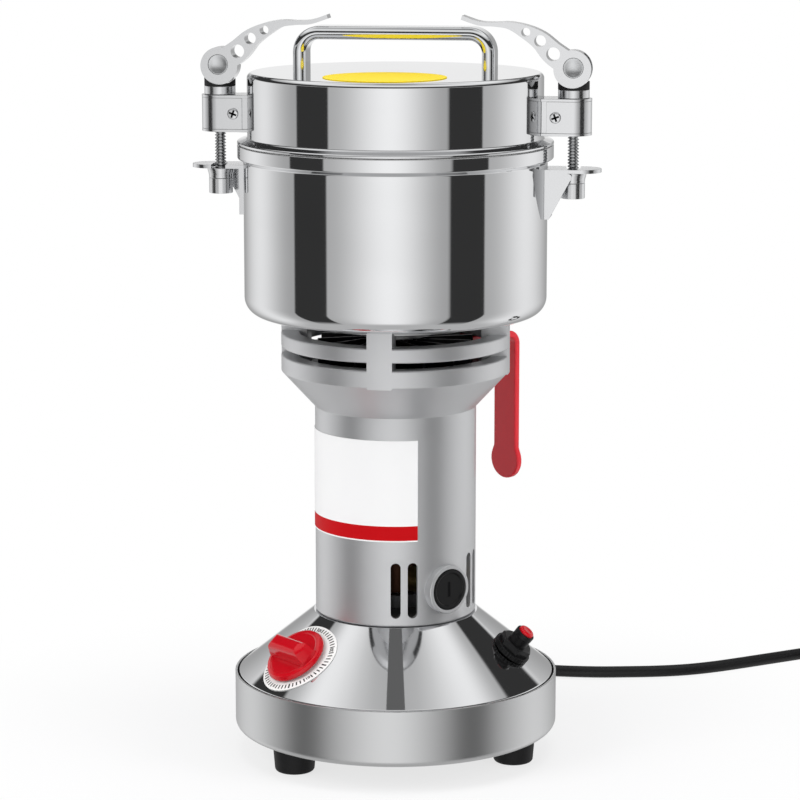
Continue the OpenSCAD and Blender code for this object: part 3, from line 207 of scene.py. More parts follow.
@dataclass(frozen=True)
class Finish:
    """A surface finish: the numbers of its shader, and how they vary over the surface.

    Attributes:
        name: Name of the material.
        colour: Base colour.
        roughness: Mean roughness.
        metallic: 1 for bare metal.
        coat: Weight of a clear gloss over the base.
        grain: Size of the surface's grain in millimetres.
        relief: Depth of the grain in millimetres.
        mottle: How far the roughness wanders from its mean.
        shade: How far the colour wanders, as a share.
        gloss: Strength of the plain reflection on what isn't metal.
        coat_roughness: Roughness of the clear gloss.
        cloud: Size of the surface's broad clouds, as a number of grains.
    """

    name: str
    colour: Colour
    roughness: float
    metallic: float = 0.0
    coat: float = 0.0
    grain: float = 0.6
    relief: float = 0.01
    mottle: float = 0.05
    shade: float = 0.08
    gloss: float = 0.5
    coat_roughness: float = 0.06
    cloud: float = 60.0

    def vary(self, graph: Graph) -> dict[str, Value]:
        """Gives the sockets that vary over the surface.

        Args:
            graph: Nodes of the material.

        Returns:
            Values for the shader's sockets, by name.
        """
        place = graph.place()
        fine = graph.noise(place, 1 / (self.grain * MM), 4)
        broad = graph.noise(place, 1 / (self.cloud * self.grain * MM), 2)
        darker = tuple(part * (1 - self.shade) for part in self.colour)
        lighter = tuple(min(1.0, part * (1 + self.shade)) for part in self.colour)
        return {"Base Color": graph.blend(0.5 * fine + 0.5 * broad, darker, lighter),
                "Roughness": self.roughness + self.mottle * (fine + broad - 1.0),
                "Normal": graph.bump(fine, self.relief)}

    def material(self) -> bpy.types.Material:
        """The material, made on first use and shared after that."""
        title = f"{self.name}_surface"
        known = bpy.data.materials.get(title)
        if known is not None:
            return known
        made = bpy.data.materials.new(title)
        made.use_nodes = True
        made.diffuse_color = (*self.colour, 1.0)
        graph = Graph(made.node_tree)
        shader = graph.node("ShaderNodeBsdfPrincipled", sockets={
            "Metallic": self.metallic, "Coat Weight": self.coat, "Coat Roughness": self.coat_roughness,
            "Specular IOR Level": self.gloss, **self.vary(graph)})
        graph.node("ShaderNodeOutputMaterial", sockets={"Surface": shader})
        return made


@dataclass(frozen=True)
class PolishedSteel(Finish):
    """Steel polished round the motor's axis, with faint lines and wiped patches.

    Attributes:
        line_mm: Distance between the lines.
        line_stretch: Scale of a line along its length, as a share of that across it.
        patch_stretch: The same for a patch.
        patch_scale: Patches in a metre of height.
        patch_range: Noise at which a patch starts and is whole.
        line_strength: Strength of the lines' relief.
    """

    line_mm: float = 0.16
    line_stretch: float = 0.02
    patch_stretch: float = 0.4
    patch_scale: float = 22.0
    patch_range: Point = (0.3, 0.75)
    line_strength: float = 0.35

    def vary(self, graph: Graph) -> dict[str, Value]:
        """Fine lines round the axis, over soft patches of polish."""
        place = graph.place()
        line = graph.noise(graph.scaled(place, (self.line_stretch, self.line_stretch, 1.0)),
                           1 / (self.line_mm * MM), 3, 0.6)
        patch = graph.noise(graph.scaled(place, (self.patch_stretch, self.patch_stretch, 1.0)),
                            self.patch_scale, 2)
        tint = tuple(part * (1 - self.shade) for part in self.colour)
        return {"Base Color": graph.blend(graph.ramp(patch, *self.patch_range), self.colour, tint),
                "Roughness": self.roughness + self.mottle * patch + 0.5 * self.mottle * line,
                "Normal": graph.bump(line, self.relief, self.line_strength)}


@dataclass(frozen=True)
class BrushedSteel(Finish):
    """Metal brushed round the motor's axis.

    Attributes:
        line_mm: Distance between the long lines.
        long_stretch: Scale of a long line along its length, as a share of that across it.
        short_stretch: The same for a short line, which is half as wide.
        long_share: Share of the long lines in the pattern.
        line_strength: Strength of the lines' relief.
    """

    line_mm: float = 0.22
    long_stretch: float = 0.03
    short_stretch: float = 0.12
    long_share: float = 0.6
    line_strength: float = 0.5

    def vary(self, graph: Graph) -> dict[str, Value]:
        """Brush lines round the axis, some long and some short."""
        place = graph.place()
        long_lines = graph.noise(graph.scaled(place, (self.long_stretch, self.long_stretch, 1.0)),
                                 1 / (self.line_mm * MM), 4, 0.65)
        short_lines = graph.noise(graph.scaled(place, (self.short_stretch, self.short_stretch, 1.0)),
                                  2 / (self.line_mm * MM), 2, 0.5)
        lines = self.long_share * long_lines + (1 - self.long_share) * short_lines
        tint = tuple(part * (1 - self.shade) for part in self.colour)
        return {"Base Color": graph.blend(lines, tint, self.colour),
                "Roughness": self.roughness + self.mottle * (lines - 0.5),
                "Normal": graph.bump(lines, self.relief, self.line_strength)}


@dataclass(frozen=True)
class LabelFilm(Finish):
    """White film with a red band near its lower edge.

    Attributes:
        band: Lowest and highest point of the band, in millimetres above the worktop.
        band_colour: Colour of the band.
    """

    band: Point = (129.6, 137.6)
    band_colour: Colour = (0.50, 0.0, 0.003)

    def vary(self, graph: Graph) -> dict[str, Value]:
        """A red band between two heights on a white ground."""
        place = graph.place()
        height = graph.axis(place, 2)
        inside = (height > self.band[0] * MM) * (height < self.band[1] * MM)
        fine = graph.noise(place, 1 / (self.grain * MM), 3)
        return {"Base Color": graph.blend(inside, self.colour, self.band_colour),
                "Roughness": self.roughness + self.mottle * fine,
                "Normal": graph.bump(fine, self.relief)}


def rounded(corners: Sequence[Corner], steps: int = 6) -> list[Point]:
    """Rounds the corners of a closed outline.

    Args:
        corners: (x, y, radius) of each corner, in order.
        steps: Straight steps in each arc.

    Returns:
        Points of the outline.
    """
    points: list[Point] = []
    corners = [corner for index, corner in enumerate(corners) if corner[:2] != corners[index - 1][:2]]
    for index, (x, y, radius) in enumerate(corners):
        here = Vector((x, y))
        before = Vector(corners[index - 1][:2]) - here
        after = Vector(corners[(index + 1) % len(corners)][:2]) - here
        half = before.angle(after) / 2
        if radius <= 0 or half > math.radians(90 - FLAT_DEGREES):
            points.append((x, y))
            continue
        reach = min(radius / math.tan(half), 0.499 * min(before.length, after.length))
        size = reach * math.tan(half)
        centre = here + (before.normalized() + after.normalized()).normalized() * (size / math.sin(half))
        start = here + before.normalized() * reach - centre
        turn = start.angle_signed(here + after.normalized() * reach - centre)
        for step in range(steps + 1):
            point = centre + Matrix.Rotation(-turn * step / steps, 2) @ start
            points.append((point.x, point.y))
    return points


def smooth(points: Sequence[Sequence[float]], steps: int) -> list[Vector]:
    """A smooth curve through points, with a number of steps between neighbours."""
    knots = [Vector(point) for point in points]
    last = len(knots) - 1
    curve = []
    for index in range(last):
        p0, p3 = knots[max(index - 1, 0)], knots[min(index + 2, last)]
        p1, p2 = knots[index], knots[index + 1]
        for step in range(steps):
            t = step / steps
            curve.append(0.5 * (2 * p1 + (p2 - p0) * t + (2 * p0 - 5 * p1 + 4 * p2 - p3) * t ** 2
                                + (3 * p1 - p0 - 3 * p2 + p3) * t ** 3))
    return curve + [knots[last]]


def shift(x: float = 0.0, y: float = 0.0, z: float = 0.0) -> Matrix:
    """A move, in millimetres."""
    return Matrix.Translation((x, y, z))


def turn(degrees: float, axis: str) -> Matrix:
    """A turn about X, Y or Z."""
    return Matrix.Rotation(math.radians(degrees), 4, axis)


def facing(azimuth: float) -> Matrix:
    """Turns +X to an azimuth, from the front towards the right."""
    return turn(azimuth - 90, "Z")


class Carving(Enum):
    """Ways to combine two shapes."""

    CUT = "DIFFERENCE"
    JOIN = "UNION"
    KEEP = "INTERSECT"


class Shape:
    """A mesh being modelled, in millimetres."""

    def __init__(self) -> None:
        """Starts an empty mesh."""
        self.bm = bmesh.new()

    def outline(self, points: Iterable[Point], closed: bool = True) -> list[bmesh.types.BMEdge]:
        """Draws an outline in the XZ plane."""
        verts = [self.bm.verts.new((x, 0.0, z)) for x, z in points]
        pairs = zip(verts, verts[1:] + verts[:1] if closed else verts[1:])
        return [self.bm.edges.new(pair) for pair in pairs if abs(pair[0].co.x) + abs(pair[1].co.x) > 1e-6]

    def turned(self, corners: Sequence[Corner], steps: int = 160, arc_steps: int = 6) -> "Shape":
        """Spins an outline of (radius, height, rounding) corners round Z.

        Args:
            corners: Corners of the outline, in order.
            steps: Steps of the full spin.
            arc_steps: Steps of each rounded corner.

        Returns:
            This shape.
        """
        edges = self.outline(rounded(corners, arc_steps))
        verts = list(dict.fromkeys(vert for edge in edges for vert in edge.verts))
        bmesh.ops.spin(self.bm, geom=verts + edges, cent=(0, 0, 0), axis=(0, 0, 1), dvec=(0, 0, 0),
                       angle=math.tau, steps=steps, use_merge=True, use_normal_flip=False, use_duplicate=False)
        return self.closed()

    def closed(self) -> "Shape":
        """Merges doubles and turns the faces outwards."""
        bmesh.ops.remove_doubles(self.bm, verts=self.bm.verts[:], dist=MERGE_MM)
        bmesh.ops.dissolve_degenerate(self.bm, edges=self.bm.edges[:], dist=DEGENERATE_MM)
        bmesh.ops.recalc_face_normals(self.bm, faces=self.bm.faces[:])
        return self

    def slab(self, points: Iterable[Point], depth: float) -> "Shape":
        """Extrudes an outline in the XZ plane along Y, centred on it."""
        edges = self.outline(points)
        face = bmesh.ops.contextual_create(self.bm, geom=edges)["faces"][0]
        grown = bmesh.ops.extrude_face_region(self.bm, geom=[face])["geom"]
        verts = [item for item in grown if isinstance(item, bmesh.types.BMVert)]
        bmesh.ops.translate(self.bm, verts=verts, vec=(0, depth, 0))
        bmesh.ops.translate(self.bm, verts=self.bm.verts[:], vec=(0, -depth / 2, 0))
        bmesh.ops.recalc_face_normals(self.bm, faces=self.bm.faces[:])
        return self

    def rod(self, radius: float, length: float, segments: int = 48) -> "Shape":
        """Adds a round bar that stands on the XY plane."""
        bmesh.ops.create_cone(self.bm, cap_ends=True, segments=segments, radius1=radius, radius2=radius,
                              depth=length, matrix=shift(z=length / 2))
        return self

    def block(self, x: float, y: float, z: float) -> "Shape":
        """Adds a block centred on the origin."""
        bmesh.ops.create_cube(self.bm, size=1.0, matrix=Matrix.Diagonal((x, y, z, 1.0)))
        return self

    def swept(self, section: Sequence[Point], path: Sequence[Vector], across: Vector) -> "Shape":
        """Sweeps a closed section along a path.

        Args:
            section: Points of the section, as (along the normal, along across).
            path: Points of the path.
            across: Direction that stays square to the path's plane.

        Returns:
            This shape.
        """
        rings = []
        for index, point in enumerate(path):
            ahead = path[min(index + 1, len(path) - 1)] - path[max(index - 1, 0)]
            normal = across.cross(ahead).normalized()
            rings.append([self.bm.verts.new(point + normal * u + across * v) for u, v in section])
        loops = [[self.bm.edges.new(pair) for pair in zip(ring, ring[1:] + ring[:1])] for ring in rings]
        for first, second in zip(loops, loops[1:]):
            bmesh.ops.bridge_loops(self.bm, edges=first + second)
        for loop in (loops[0], loops[-1]):
            bmesh.ops.contextual_create(self.bm, geom=loop)
        bmesh.ops.recalc_face_normals(self.bm, faces=self.bm.faces[:])
        return self

    def softened(self, width: float, segments: int = 3, angle: float = 32.0) -> "Shape":
        """Rounds every edge that is sharper than an angle."""
        limit = math.radians(angle)
        sharp = [edge for edge in self.bm.edges if edge.is_manifold and edge.calc_face_angle(0.0) > limit]
        if sharp:
            bmesh.ops.bevel(self.bm, geom=sharp, offset=width, offset_type="OFFSET", segments=segments,
                            profile=0.5, affect="EDGES", clamp_overlap=True, material=-1)
        return self

    def split(self, point: Sequence[float], normal: Sequence[float], cut_off: bool = False) -> "Shape":
        """Cuts every face along a plane, and may drop what lies before it."""
        bmesh.ops.bisect_plane(self.bm, geom=self.bm.verts[:] + self.bm.edges[:] + self.bm.faces[:],
                               plane_co=point, plane_no=normal, clear_outer=cut_off)
        return self

    def placed(self, matrix: Matrix) -> "Shape":
        """Moves, turns or mirrors the whole shape."""
        bmesh.ops.transform(self.bm, matrix=matrix, verts=self.bm.verts[:])
        if matrix.determinant() < 0:
            bmesh.ops.reverse_faces(self.bm, faces=self.bm.faces[:])
        return self

    def joined(self, other: "Shape") -> "Shape":
        """Takes in another shape as it lies, without cutting either."""
        mesh = bpy.data.meshes.new("joined")
        other.bm.to_mesh(mesh)
        self.bm.from_mesh(mesh)
        bpy.data.meshes.remove(mesh)
        return self

    def carved(self, other: "Shape", how: Carving = Carving.CUT) -> "Shape":
        """Cuts with, joins to or keeps what it shares with another solid."""
        objects = []
        for shape in (self, other):
            mesh = bpy.data.meshes.new("carving")
            shape.bm.to_mesh(mesh)
            made = bpy.data.objects.new("carving", mesh)
            bpy.context.scene.collection.objects.link(made)
            objects.append(made)
        modifier = objects[0].modifiers.new("carving", "BOOLEAN")
        modifier.operation = how.value
        modifier.solver = "EXACT"
        modifier.object = objects[1]
        graph = bpy.context.evaluated_depsgraph_get()
        result = bpy.data.meshes.new_from_object(objects[0].evaluated_get(graph))
        self.bm.clear()
        self.bm.from_mesh(result)
        bpy.data.meshes.remove(result)
        for made in objects:
            mesh = made.data
            bpy.data.objects.remove(made)
            bpy.data.meshes.remove(mesh)
        return self

    @classmethod
    def of_node(cls, node: str) -> "Shape":
        """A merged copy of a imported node, with its flat faces made whole."""
        shape = cls()
        shape.bm.from_mesh(frame["nodes"][node].data)
        bmesh.ops.transform(shape.bm, matrix=Matrix.Scale(1 / MM, 4), verts=shape.bm.verts[:])
        bmesh.ops.remove_doubles(shape.bm, verts=shape.bm.verts[:], dist=20 * MERGE_MM)
        bmesh.ops.dissolve_limit(shape.bm, angle_limit=math.radians(FLAT_DEGREES), verts=shape.bm.verts[:],
                                 edges=shape.bm.edges[:], use_dissolve_boundaries=False)
        return shape


def add_piece(name: str, shape: Shape, finish: Finish, body: str, replaced: Sequence[str] = (),
              sharp: float = 32.0) -> bpy.types.Object:
    """Finishes a shape as a piece of the mill.

    Args:
        name: Name of the piece.
        shape: Its mesh, in millimetres and in place.
        finish: Its surface.
        body: Body that it moves with.
        replaced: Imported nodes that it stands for.
        sharp: Least angle of an edge that stays sharp.

    Returns:
        The piece's object.
    """
    mesh = bpy.data.meshes.new(name)
    bmesh.ops.transform(shape.bm, matrix=Matrix.Scale(MM, 4), verts=shape.bm.verts[:])
    shape.bm.to_mesh(mesh)
    shape.bm.free()
    mesh.shade_smooth()
    mesh.set_sharp_from_angle(angle=math.radians(sharp))
    mesh.materials.append(finish.material())
    made = bpy.data.objects.new(name, mesh)
    bpy.context.scene.collection.objects.link(made)
    weighted = made.modifiers.new("weighted", "WEIGHTED_NORMAL")
    weighted.mode = "FACE_AREA"
    weighted.keep_sharp = True
    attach(made, body)
    if replaced:
        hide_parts(*replaced)
    log.info("%s: %d faces, on %s", name, len(mesh.polygons), body)
    return made


def dress(node: str, finish: Finish) -> None:
    """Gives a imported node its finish."""
    mesh = frame["nodes"][node].data
    mesh.materials.clear()
    mesh.materials.append(finish.material())
    log.info("%s: dressed as %s", node, finish.name)


FINISHES: dict[str, Finish] = {finish.name: finish for finish in (
    BrushedSteel("brushed_steel", (0.70, 0.705, 0.71), 0.36, 1.0, relief=0.0012, mottle=0.08),
    PolishedSteel("polished_steel", (0.76, 0.765, 0.775), 0.025, 1.0, relief=0.0015, mottle=0.035, shade=0.04),
    Finish("chrome_bar", (0.72, 0.73, 0.74), 0.08, 1.0, grain=3.0, relief=0.002, mottle=0.04, shade=0.04),
    Finish("pin_satin", (0.70, 0.71, 0.72), 0.34, 1.0, grain=0.5, relief=0.004, mottle=0.08, shade=0.06),
    Finish("latch_steel", (0.70, 0.705, 0.715), 0.19, 1.0, grain=0.5, relief=0.0015, mottle=0.1),
    Finish("cast_paint", (0.60, 0.605, 0.615), 0.38, 0.75, 0.08, grain=0.35, relief=0.003,
           mottle=0.02, shade=0.02),
    BrushedSteel("machined_aluminium", (0.50, 0.505, 0.51), 0.35, 1.0, relief=0.02, mottle=0.1),
    Finish("rubber_black", (0.009, 0.009, 0.0095), 0.62, grain=0.5, relief=0.03,
           mottle=0.12, shade=0.2, gloss=0.3),
    Finish("plastic_black", (0.006, 0.006, 0.0065), 0.34, grain=0.4, relief=0.012,
           mottle=0.1, shade=0.2, gloss=0.25),
    Finish("plastic_red", (0.5, 0.0008, 0.008), 0.2, coat=0.3, grain=2.5, relief=0.004,
           shade=0.12, gloss=0.3),
    Finish("vinyl_red", (0.72, 0.008, 0.022), 0.38, coat=0.2, grain=1.2, relief=0.01, mottle=0.08, shade=0.12),
    Finish("plastic_white", (0.82, 0.82, 0.81), 0.35, grain=0.5, relief=0.005, shade=0.03),
    LabelFilm("label_white", (0.83, 0.83, 0.83), 0.5, relief=0.003, gloss=0.12),
    Finish("label_yellow", (0.93, 0.70, 0.008), 0.5, grain=1.5, relief=0.004, shade=0.05),
    Finish("silicone", (0.72, 0.72, 0.70), 0.45, shade=0.05),
    Finish("bearing_steel", (0.58, 0.585, 0.59), 0.22, 1.0, grain=0.4, relief=0.006, mottle=0.12),
    # Core steel and copper are darker than the bare metals: painted shade for the motor's inside, seen through
    # the vents.
    Finish("core_steel", (0.17, 0.17, 0.18), 0.5, 0.8, grain=0.5, relief=0.03, mottle=0.15, shade=0.2),
    Finish("copper", (0.07, 0.028, 0.015), 0.45, 0.8, grain=0.7, relief=0.04, mottle=0.12, shade=0.2),
    Finish("brass", (0.62, 0.44, 0.16), 0.3, 1.0, grain=0.5, mottle=0.1),
    Finish("carbon", (0.025, 0.025, 0.027), 0.6, grain=0.3, relief=0.02, mottle=0.1, shade=0.3),
    Finish("cord_jacket", (0.007, 0.007, 0.0075), 0.42, grain=0.8, relief=0.012,
           mottle=0.1, shade=0.25, gloss=0.35),
    # Black ink for the dial's print. The same finish colours the dark sheets of painted shade in the cap slots
    # and screw crosses.
    Finish("print_ink_and_painted_shade", (0.004, 0.004, 0.0045), 0.5, grain=0.3, relief=0.0, shade=0.2, gloss=0.1))}


@dataclass(frozen=True)
class Levels:
    """Heights at which the mill's parts meet, in millimetres above the worktop.

    Attributes:
        foot: Underside of the base ring.
        ring_top: Upper edge of the base ring.
        column: Foot of the motor housing.
        flare: Where the housing starts to widen.
        rim: Where it is widest, at the foot of its flange.
        slot: Top of the flange and floor of the lower air slot.
        mid_ring: Underside of the ring between the air slots.
        mid_ring_top: Its top.
        pot: Underside of the pot.
        collar: Middle of the step from the pot to its collar.
        pot_top: Upper edge of the collar.
        bead: Underside of the lid's bead.
        bead_top: Its top.
        lid_top: Top of the lid.
    """

    foot: float = 15.0
    ring_top: float = 46.6
    column: float = 81.0
    flare: float = 197.0
    rim: float = 217.0
    slot: float = 226.2
    mid_ring: float = 230.3
    mid_ring_top: float = 238.2
    pot: float = 248.0
    collar: float = 333.3
    pot_top: float = 341.4
    bead: float = 341.7
    bead_top: float = 345.0
    lid_top: float = 380.3


LEVELS = Levels()


@dataclass
class Studio:
    """Camera, floor, backdrop light and lamps.

    Azimuths are counted from the camera towards the right, except for the camera's own.

    Attributes:
        distance: From the mill's axis to the camera, along the floor, in metres.
        height: Of the camera, in metres.
        azimuth: Of the camera, from the mill's front towards the right, in degrees.
        pitch: Of the camera below the horizon, in degrees.
        yaw: Turn of the camera to the right of the mill's axis, in degrees.
        lens: Focal length in millimetres on a 36 mm sensor.
        lamps: Name, azimuth, distance, height, size in metres and power of each lamp.
        aim_height: Height that the lamps point at, in metres.
        tent_radius: Radius of the cloth dome, in metres.
        tent_strength: Brightness of white cloth.
        ground_tone: Tone of the dome's lowest part.
        ground_fade: Degrees below the horizon over which the cloth turns into it.
        cloth: Azimuth and tone of the cloth's stripes round the set.
        roof: Elevation and tone of the dome's top, which starts over roof_fade.
        roof_fade: Degrees above the horizon over which the cloth turns into the roof.
        gobo_width: Width of the dark card, in metres.
        gobo_length: Its length.
        gobo_reach: Its distance from the mill's axis.
        gobo_height: Its height.
        gobo_taper: Share of its width at its far end.
        gobo_stretch: Share of its length by which that end is pulled out.
        gobo_tone: Its tone.
        floor_radius: Radius of the floor, in metres.
        floor_colour: Colour of the floor where the light falls on it.
        floor_glow: Share of the floor's own white near the mill.
        shadow_reach: Distances over which the floor turns wholly white, in metres.
        world_light: Brightness of the surroundings as a lamp.
    """

    distance: float = 1.6456
    height: float = 0.5042
    azimuth: float = 8.0
    pitch: float = 10.5
    yaw: float = 0.085
    lens: float = 136.1
    lamps: tuple[tuple[str, float, float, float, Point, float], ...] = (
        ("lamp_left", -55.0, 1.5, 1.1, (0.9, 1.2), 15.0),
        ("lamp_right", 62.0, 1.6, 0.9, (0.7, 1.1), 11.0),
        ("lamp_top", 10.0, 0.4, 1.9, (1.2, 1.2), 12.0))
    aim_height: float = 0.24
    tent_radius: float = 1.35
    tent_strength: float = 1.3
    ground_tone: float = 0.42
    ground_fade: Point = (30.0, 50.0)
    cloth: tuple[Point, ...] = (
        (-180, 0.7), (-173, 0.7), (-165, 0.3), (-120, 0.75), (-80, 0.35), (-79, 0.03), (-52, 0.03), (-51, 0.4),
        (-4, 0.85), (39, 0.35), (40, 0.03), (68, 0.03), (69, 0.4), (112, 0.75), (165, 0.3), (173, 0.7))
    roof: tuple[Point, ...] = ((25, 0.6), (28, 0.03), (45, 0.03), (47, 0.4), (60, 0.8), (83, 0.4), (84, 0.12))
    roof_fade: Point = (22.0, 26.0)
    gobo_width: float = 0.020
    gobo_length: float = 0.050
    gobo_reach: float = 0.074
    gobo_height: float = 0.118
    gobo_taper: float = 0.6
    gobo_stretch: float = 0.1
    gobo_tone: float = 0.14
    floor_radius: float = 25.0
    floor_colour: Colour = (0.80, 0.80, 0.81)
    floor_glow: float = 0.72
    shadow_reach: Point = (0.12, 0.34)
    world_light: float = 0.55

    def point(self, azimuth: float, distance: float, height: float) -> Vector:
        """A point of the studio, from its azimuth, distance from the axis and height in metres."""
        angle = math.radians(azimuth + self.azimuth)
        return Vector((distance * math.sin(angle), -distance * math.cos(angle), height))

    def camera(self) -> None:
        """Sets up the camera at the photograph's viewpoint."""
        data = bpy.data.cameras.new("camera")
        data.lens = self.lens
        data.sensor_width = 36.0
        data.clip_end = 60.0
        made = bpy.data.objects.new("camera", data)
        made.location = self.point(0.0, self.distance, self.height)
        made.rotation_euler = (math.radians(90 - self.pitch), 0.0, math.radians(self.azimuth - self.yaw))
        bpy.context.scene.collection.objects.link(made)
        bpy.context.scene.camera = made

    @staticmethod
    def surface(name: str) -> tuple[bpy.types.Material, Graph]:
        """A new material and its empty graph."""
        made = bpy.data.materials.new(name)
        made.use_nodes = True
        return made, Graph(made.node_tree)

    @staticmethod
    def prop(name: str, bm: bmesh.types.BMesh, material: bpy.types.Material, mirrored: bool) -> None:
        """Puts a mesh into the studio, either to be seen in mirrors only or to be left out of them."""
        mesh = bpy.data.meshes.new(name)
        bm.to_mesh(mesh)
        bm.free()
        mesh.materials.append(material)
        made = bpy.data.objects.new(name, mesh)
        if mirrored:
            made.visible_camera = made.visible_diffuse = False
            made.visible_shadow = made.visible_transmission = False
        else:
            made.visible_glossy = False
        bpy.context.scene.collection.objects.link(made)

    def lamp(self, name: str, azimuth: float, distance: float, height: float, size: Point,
             power: float) -> None:
        """Hangs a soft rectangular lamp that points at the mill."""
        data = bpy.data.lights.new(name, "AREA")
        data.shape = "RECTANGLE"
        data.size, data.size_y = size
        data.energy = power
        made = bpy.data.objects.new(name, data)
        made.location = self.point(azimuth, distance, height)
        aim = Vector((0.0, 0.0, self.aim_height)) - made.location
        made.rotation_euler = aim.to_track_quat("-Z", "Y").to_euler()
        made.visible_glossy = False
        bpy.context.scene.collection.objects.link(made)

    def tent(self) -> None:
        """Hangs a dome of white and grey cloth round the set, which shows only in glossy surfaces."""
        bm = bmesh.new()
        bmesh.ops.create_uvsphere(bm, u_segments=64, v_segments=32, radius=self.tent_radius)
        material, graph = self.surface("light_tent")
        place = graph.place()
        towards = graph.node("ShaderNodeVectorRotate", {"rotation_type": "Z_AXIS"},
                             {"Vector": place, "Angle": -math.radians(self.azimuth)})
        along = graph.node("ShaderNodeMath", {"operation": "ARCTAN2"},
                           {0: graph.axis(towards, 0), 1: -1.0 * graph.axis(towards, 1)})
        cloth = graph.node("ShaderNodeValToRGB", {"stops": [
            ((azimuth + 180) / 360, (tone, tone, tone)) for azimuth, tone in self.cloth]},
            {0: along * (1 / math.tau) + 0.5})
        rise = graph.node("ShaderNodeMath", {"operation": "ARCSINE"},
                          {0: graph.axis(place, 2) * (1 / self.tent_radius)}) * math.degrees(1)
        roof = graph.node("ShaderNodeValToRGB", {"stops": [
            (elevation / 90, (tone, tone, tone)) for elevation, tone in self.roof]}, {0: rise * (1 / 90)})
        ground = (self.ground_tone,) * 3
        lower = graph.blend(graph.ramp(-1.0 * rise, *self.ground_fade), cloth, ground)
        tone = graph.blend(graph.ramp(rise, *self.roof_fade), lower, roof)
        glow = graph.node("ShaderNodeEmission", sockets={"Color": tone, "Strength": self.tent_strength})
        graph.node("ShaderNodeOutputMaterial", sockets={"Surface": glow})
        self.prop("light_tent", bm, material, mirrored=True)

    def gobo(self) -> None:
        """Hangs a narrow dark card over the front of the base, which shows as a line in its polish."""
        bm = bmesh.new()
        bmesh.ops.create_grid(bm, x_segments=1, y_segments=1, size=1.0,
                              matrix=Matrix.Diagonal((self.gobo_width / 2, self.gobo_length / 2, 1, 1)))
        for vert in bm.verts:
            if vert.co.y > 0:
                vert.co.x *= self.gobo_taper
                vert.co.y += self.gobo_length * self.gobo_stretch
        place = self.point(0.0, self.gobo_reach, self.gobo_height)
        bmesh.ops.transform(bm, matrix=shift(*place) @ turn(self.azimuth, "Z"), verts=bm.verts[:])
        material, graph = self.surface("gobo")
        glow = graph.node("ShaderNodeEmission", sockets={"Color": (self.gobo_tone,) * 3, "Strength": 1.0})
        clear = graph.node("ShaderNodeBsdfTransparent")
        from_below = graph.node("ShaderNodeNewGeometry", out="Backfacing")
        one_sided = graph.node("ShaderNodeMixShader", sockets={0: from_below, 1: clear, 2: glow})
        graph.node("ShaderNodeOutputMaterial", sockets={"Surface": one_sided})
        self.prop("gobo", bm, material, mirrored=True)

    def floor(self) -> None:
        """Lays a pale floor that keeps the mill's shadow near it and is white further out."""
        bm = bmesh.new()
        bmesh.ops.create_circle(bm, cap_ends=True, segments=64, radius=self.floor_radius)
        material, graph = self.surface("floor")
        far = graph.node("ShaderNodeVectorMath", {"operation": "LENGTH"}, {0: graph.place()}, out="Value")
        matt = graph.node("ShaderNodeBsdfDiffuse", sockets={"Color": self.floor_colour})
        white = graph.node("ShaderNodeEmission", sockets={"Color": (1.0, 1.0, 1.0), "Strength": 1.0})
        share = graph.seen() * (self.floor_glow + (1 - self.floor_glow) * graph.ramp(far, *self.shadow_reach))
        mixed = graph.node("ShaderNodeMixShader", sockets={0: share, 1: matt, 2: white})
        graph.node("ShaderNodeOutputMaterial", sockets={"Surface": mixed})
        self.prop("floor", bm, material, mirrored=False)

    def world(self) -> None:
        """Lights the set from all round, with a white background."""
        made = bpy.data.worlds.new("studio")
        bpy.context.scene.world = made
        made.use_nodes = True
        graph = Graph(made.node_tree)
        strength = self.world_light + (1 - self.world_light) * graph.seen()
        back = graph.node("ShaderNodeBackground", sockets={"Color": (1.0, 1.0, 1.0), "Strength": strength})
        graph.node("ShaderNodeOutputWorld", sockets={"Surface": back})

    def build(self) -> None:
        """Sets up the whole studio."""
        settings = bpy.context.scene.view_settings
        settings.view_transform = "Standard"
        self.camera()
        self.floor()
        self.world()
        for plan in self.lamps:
            self.lamp(*plan)
        self.tent()
        self.gobo()
        log.info("studio: camera %.1f degrees right of the front", self.azimuth)


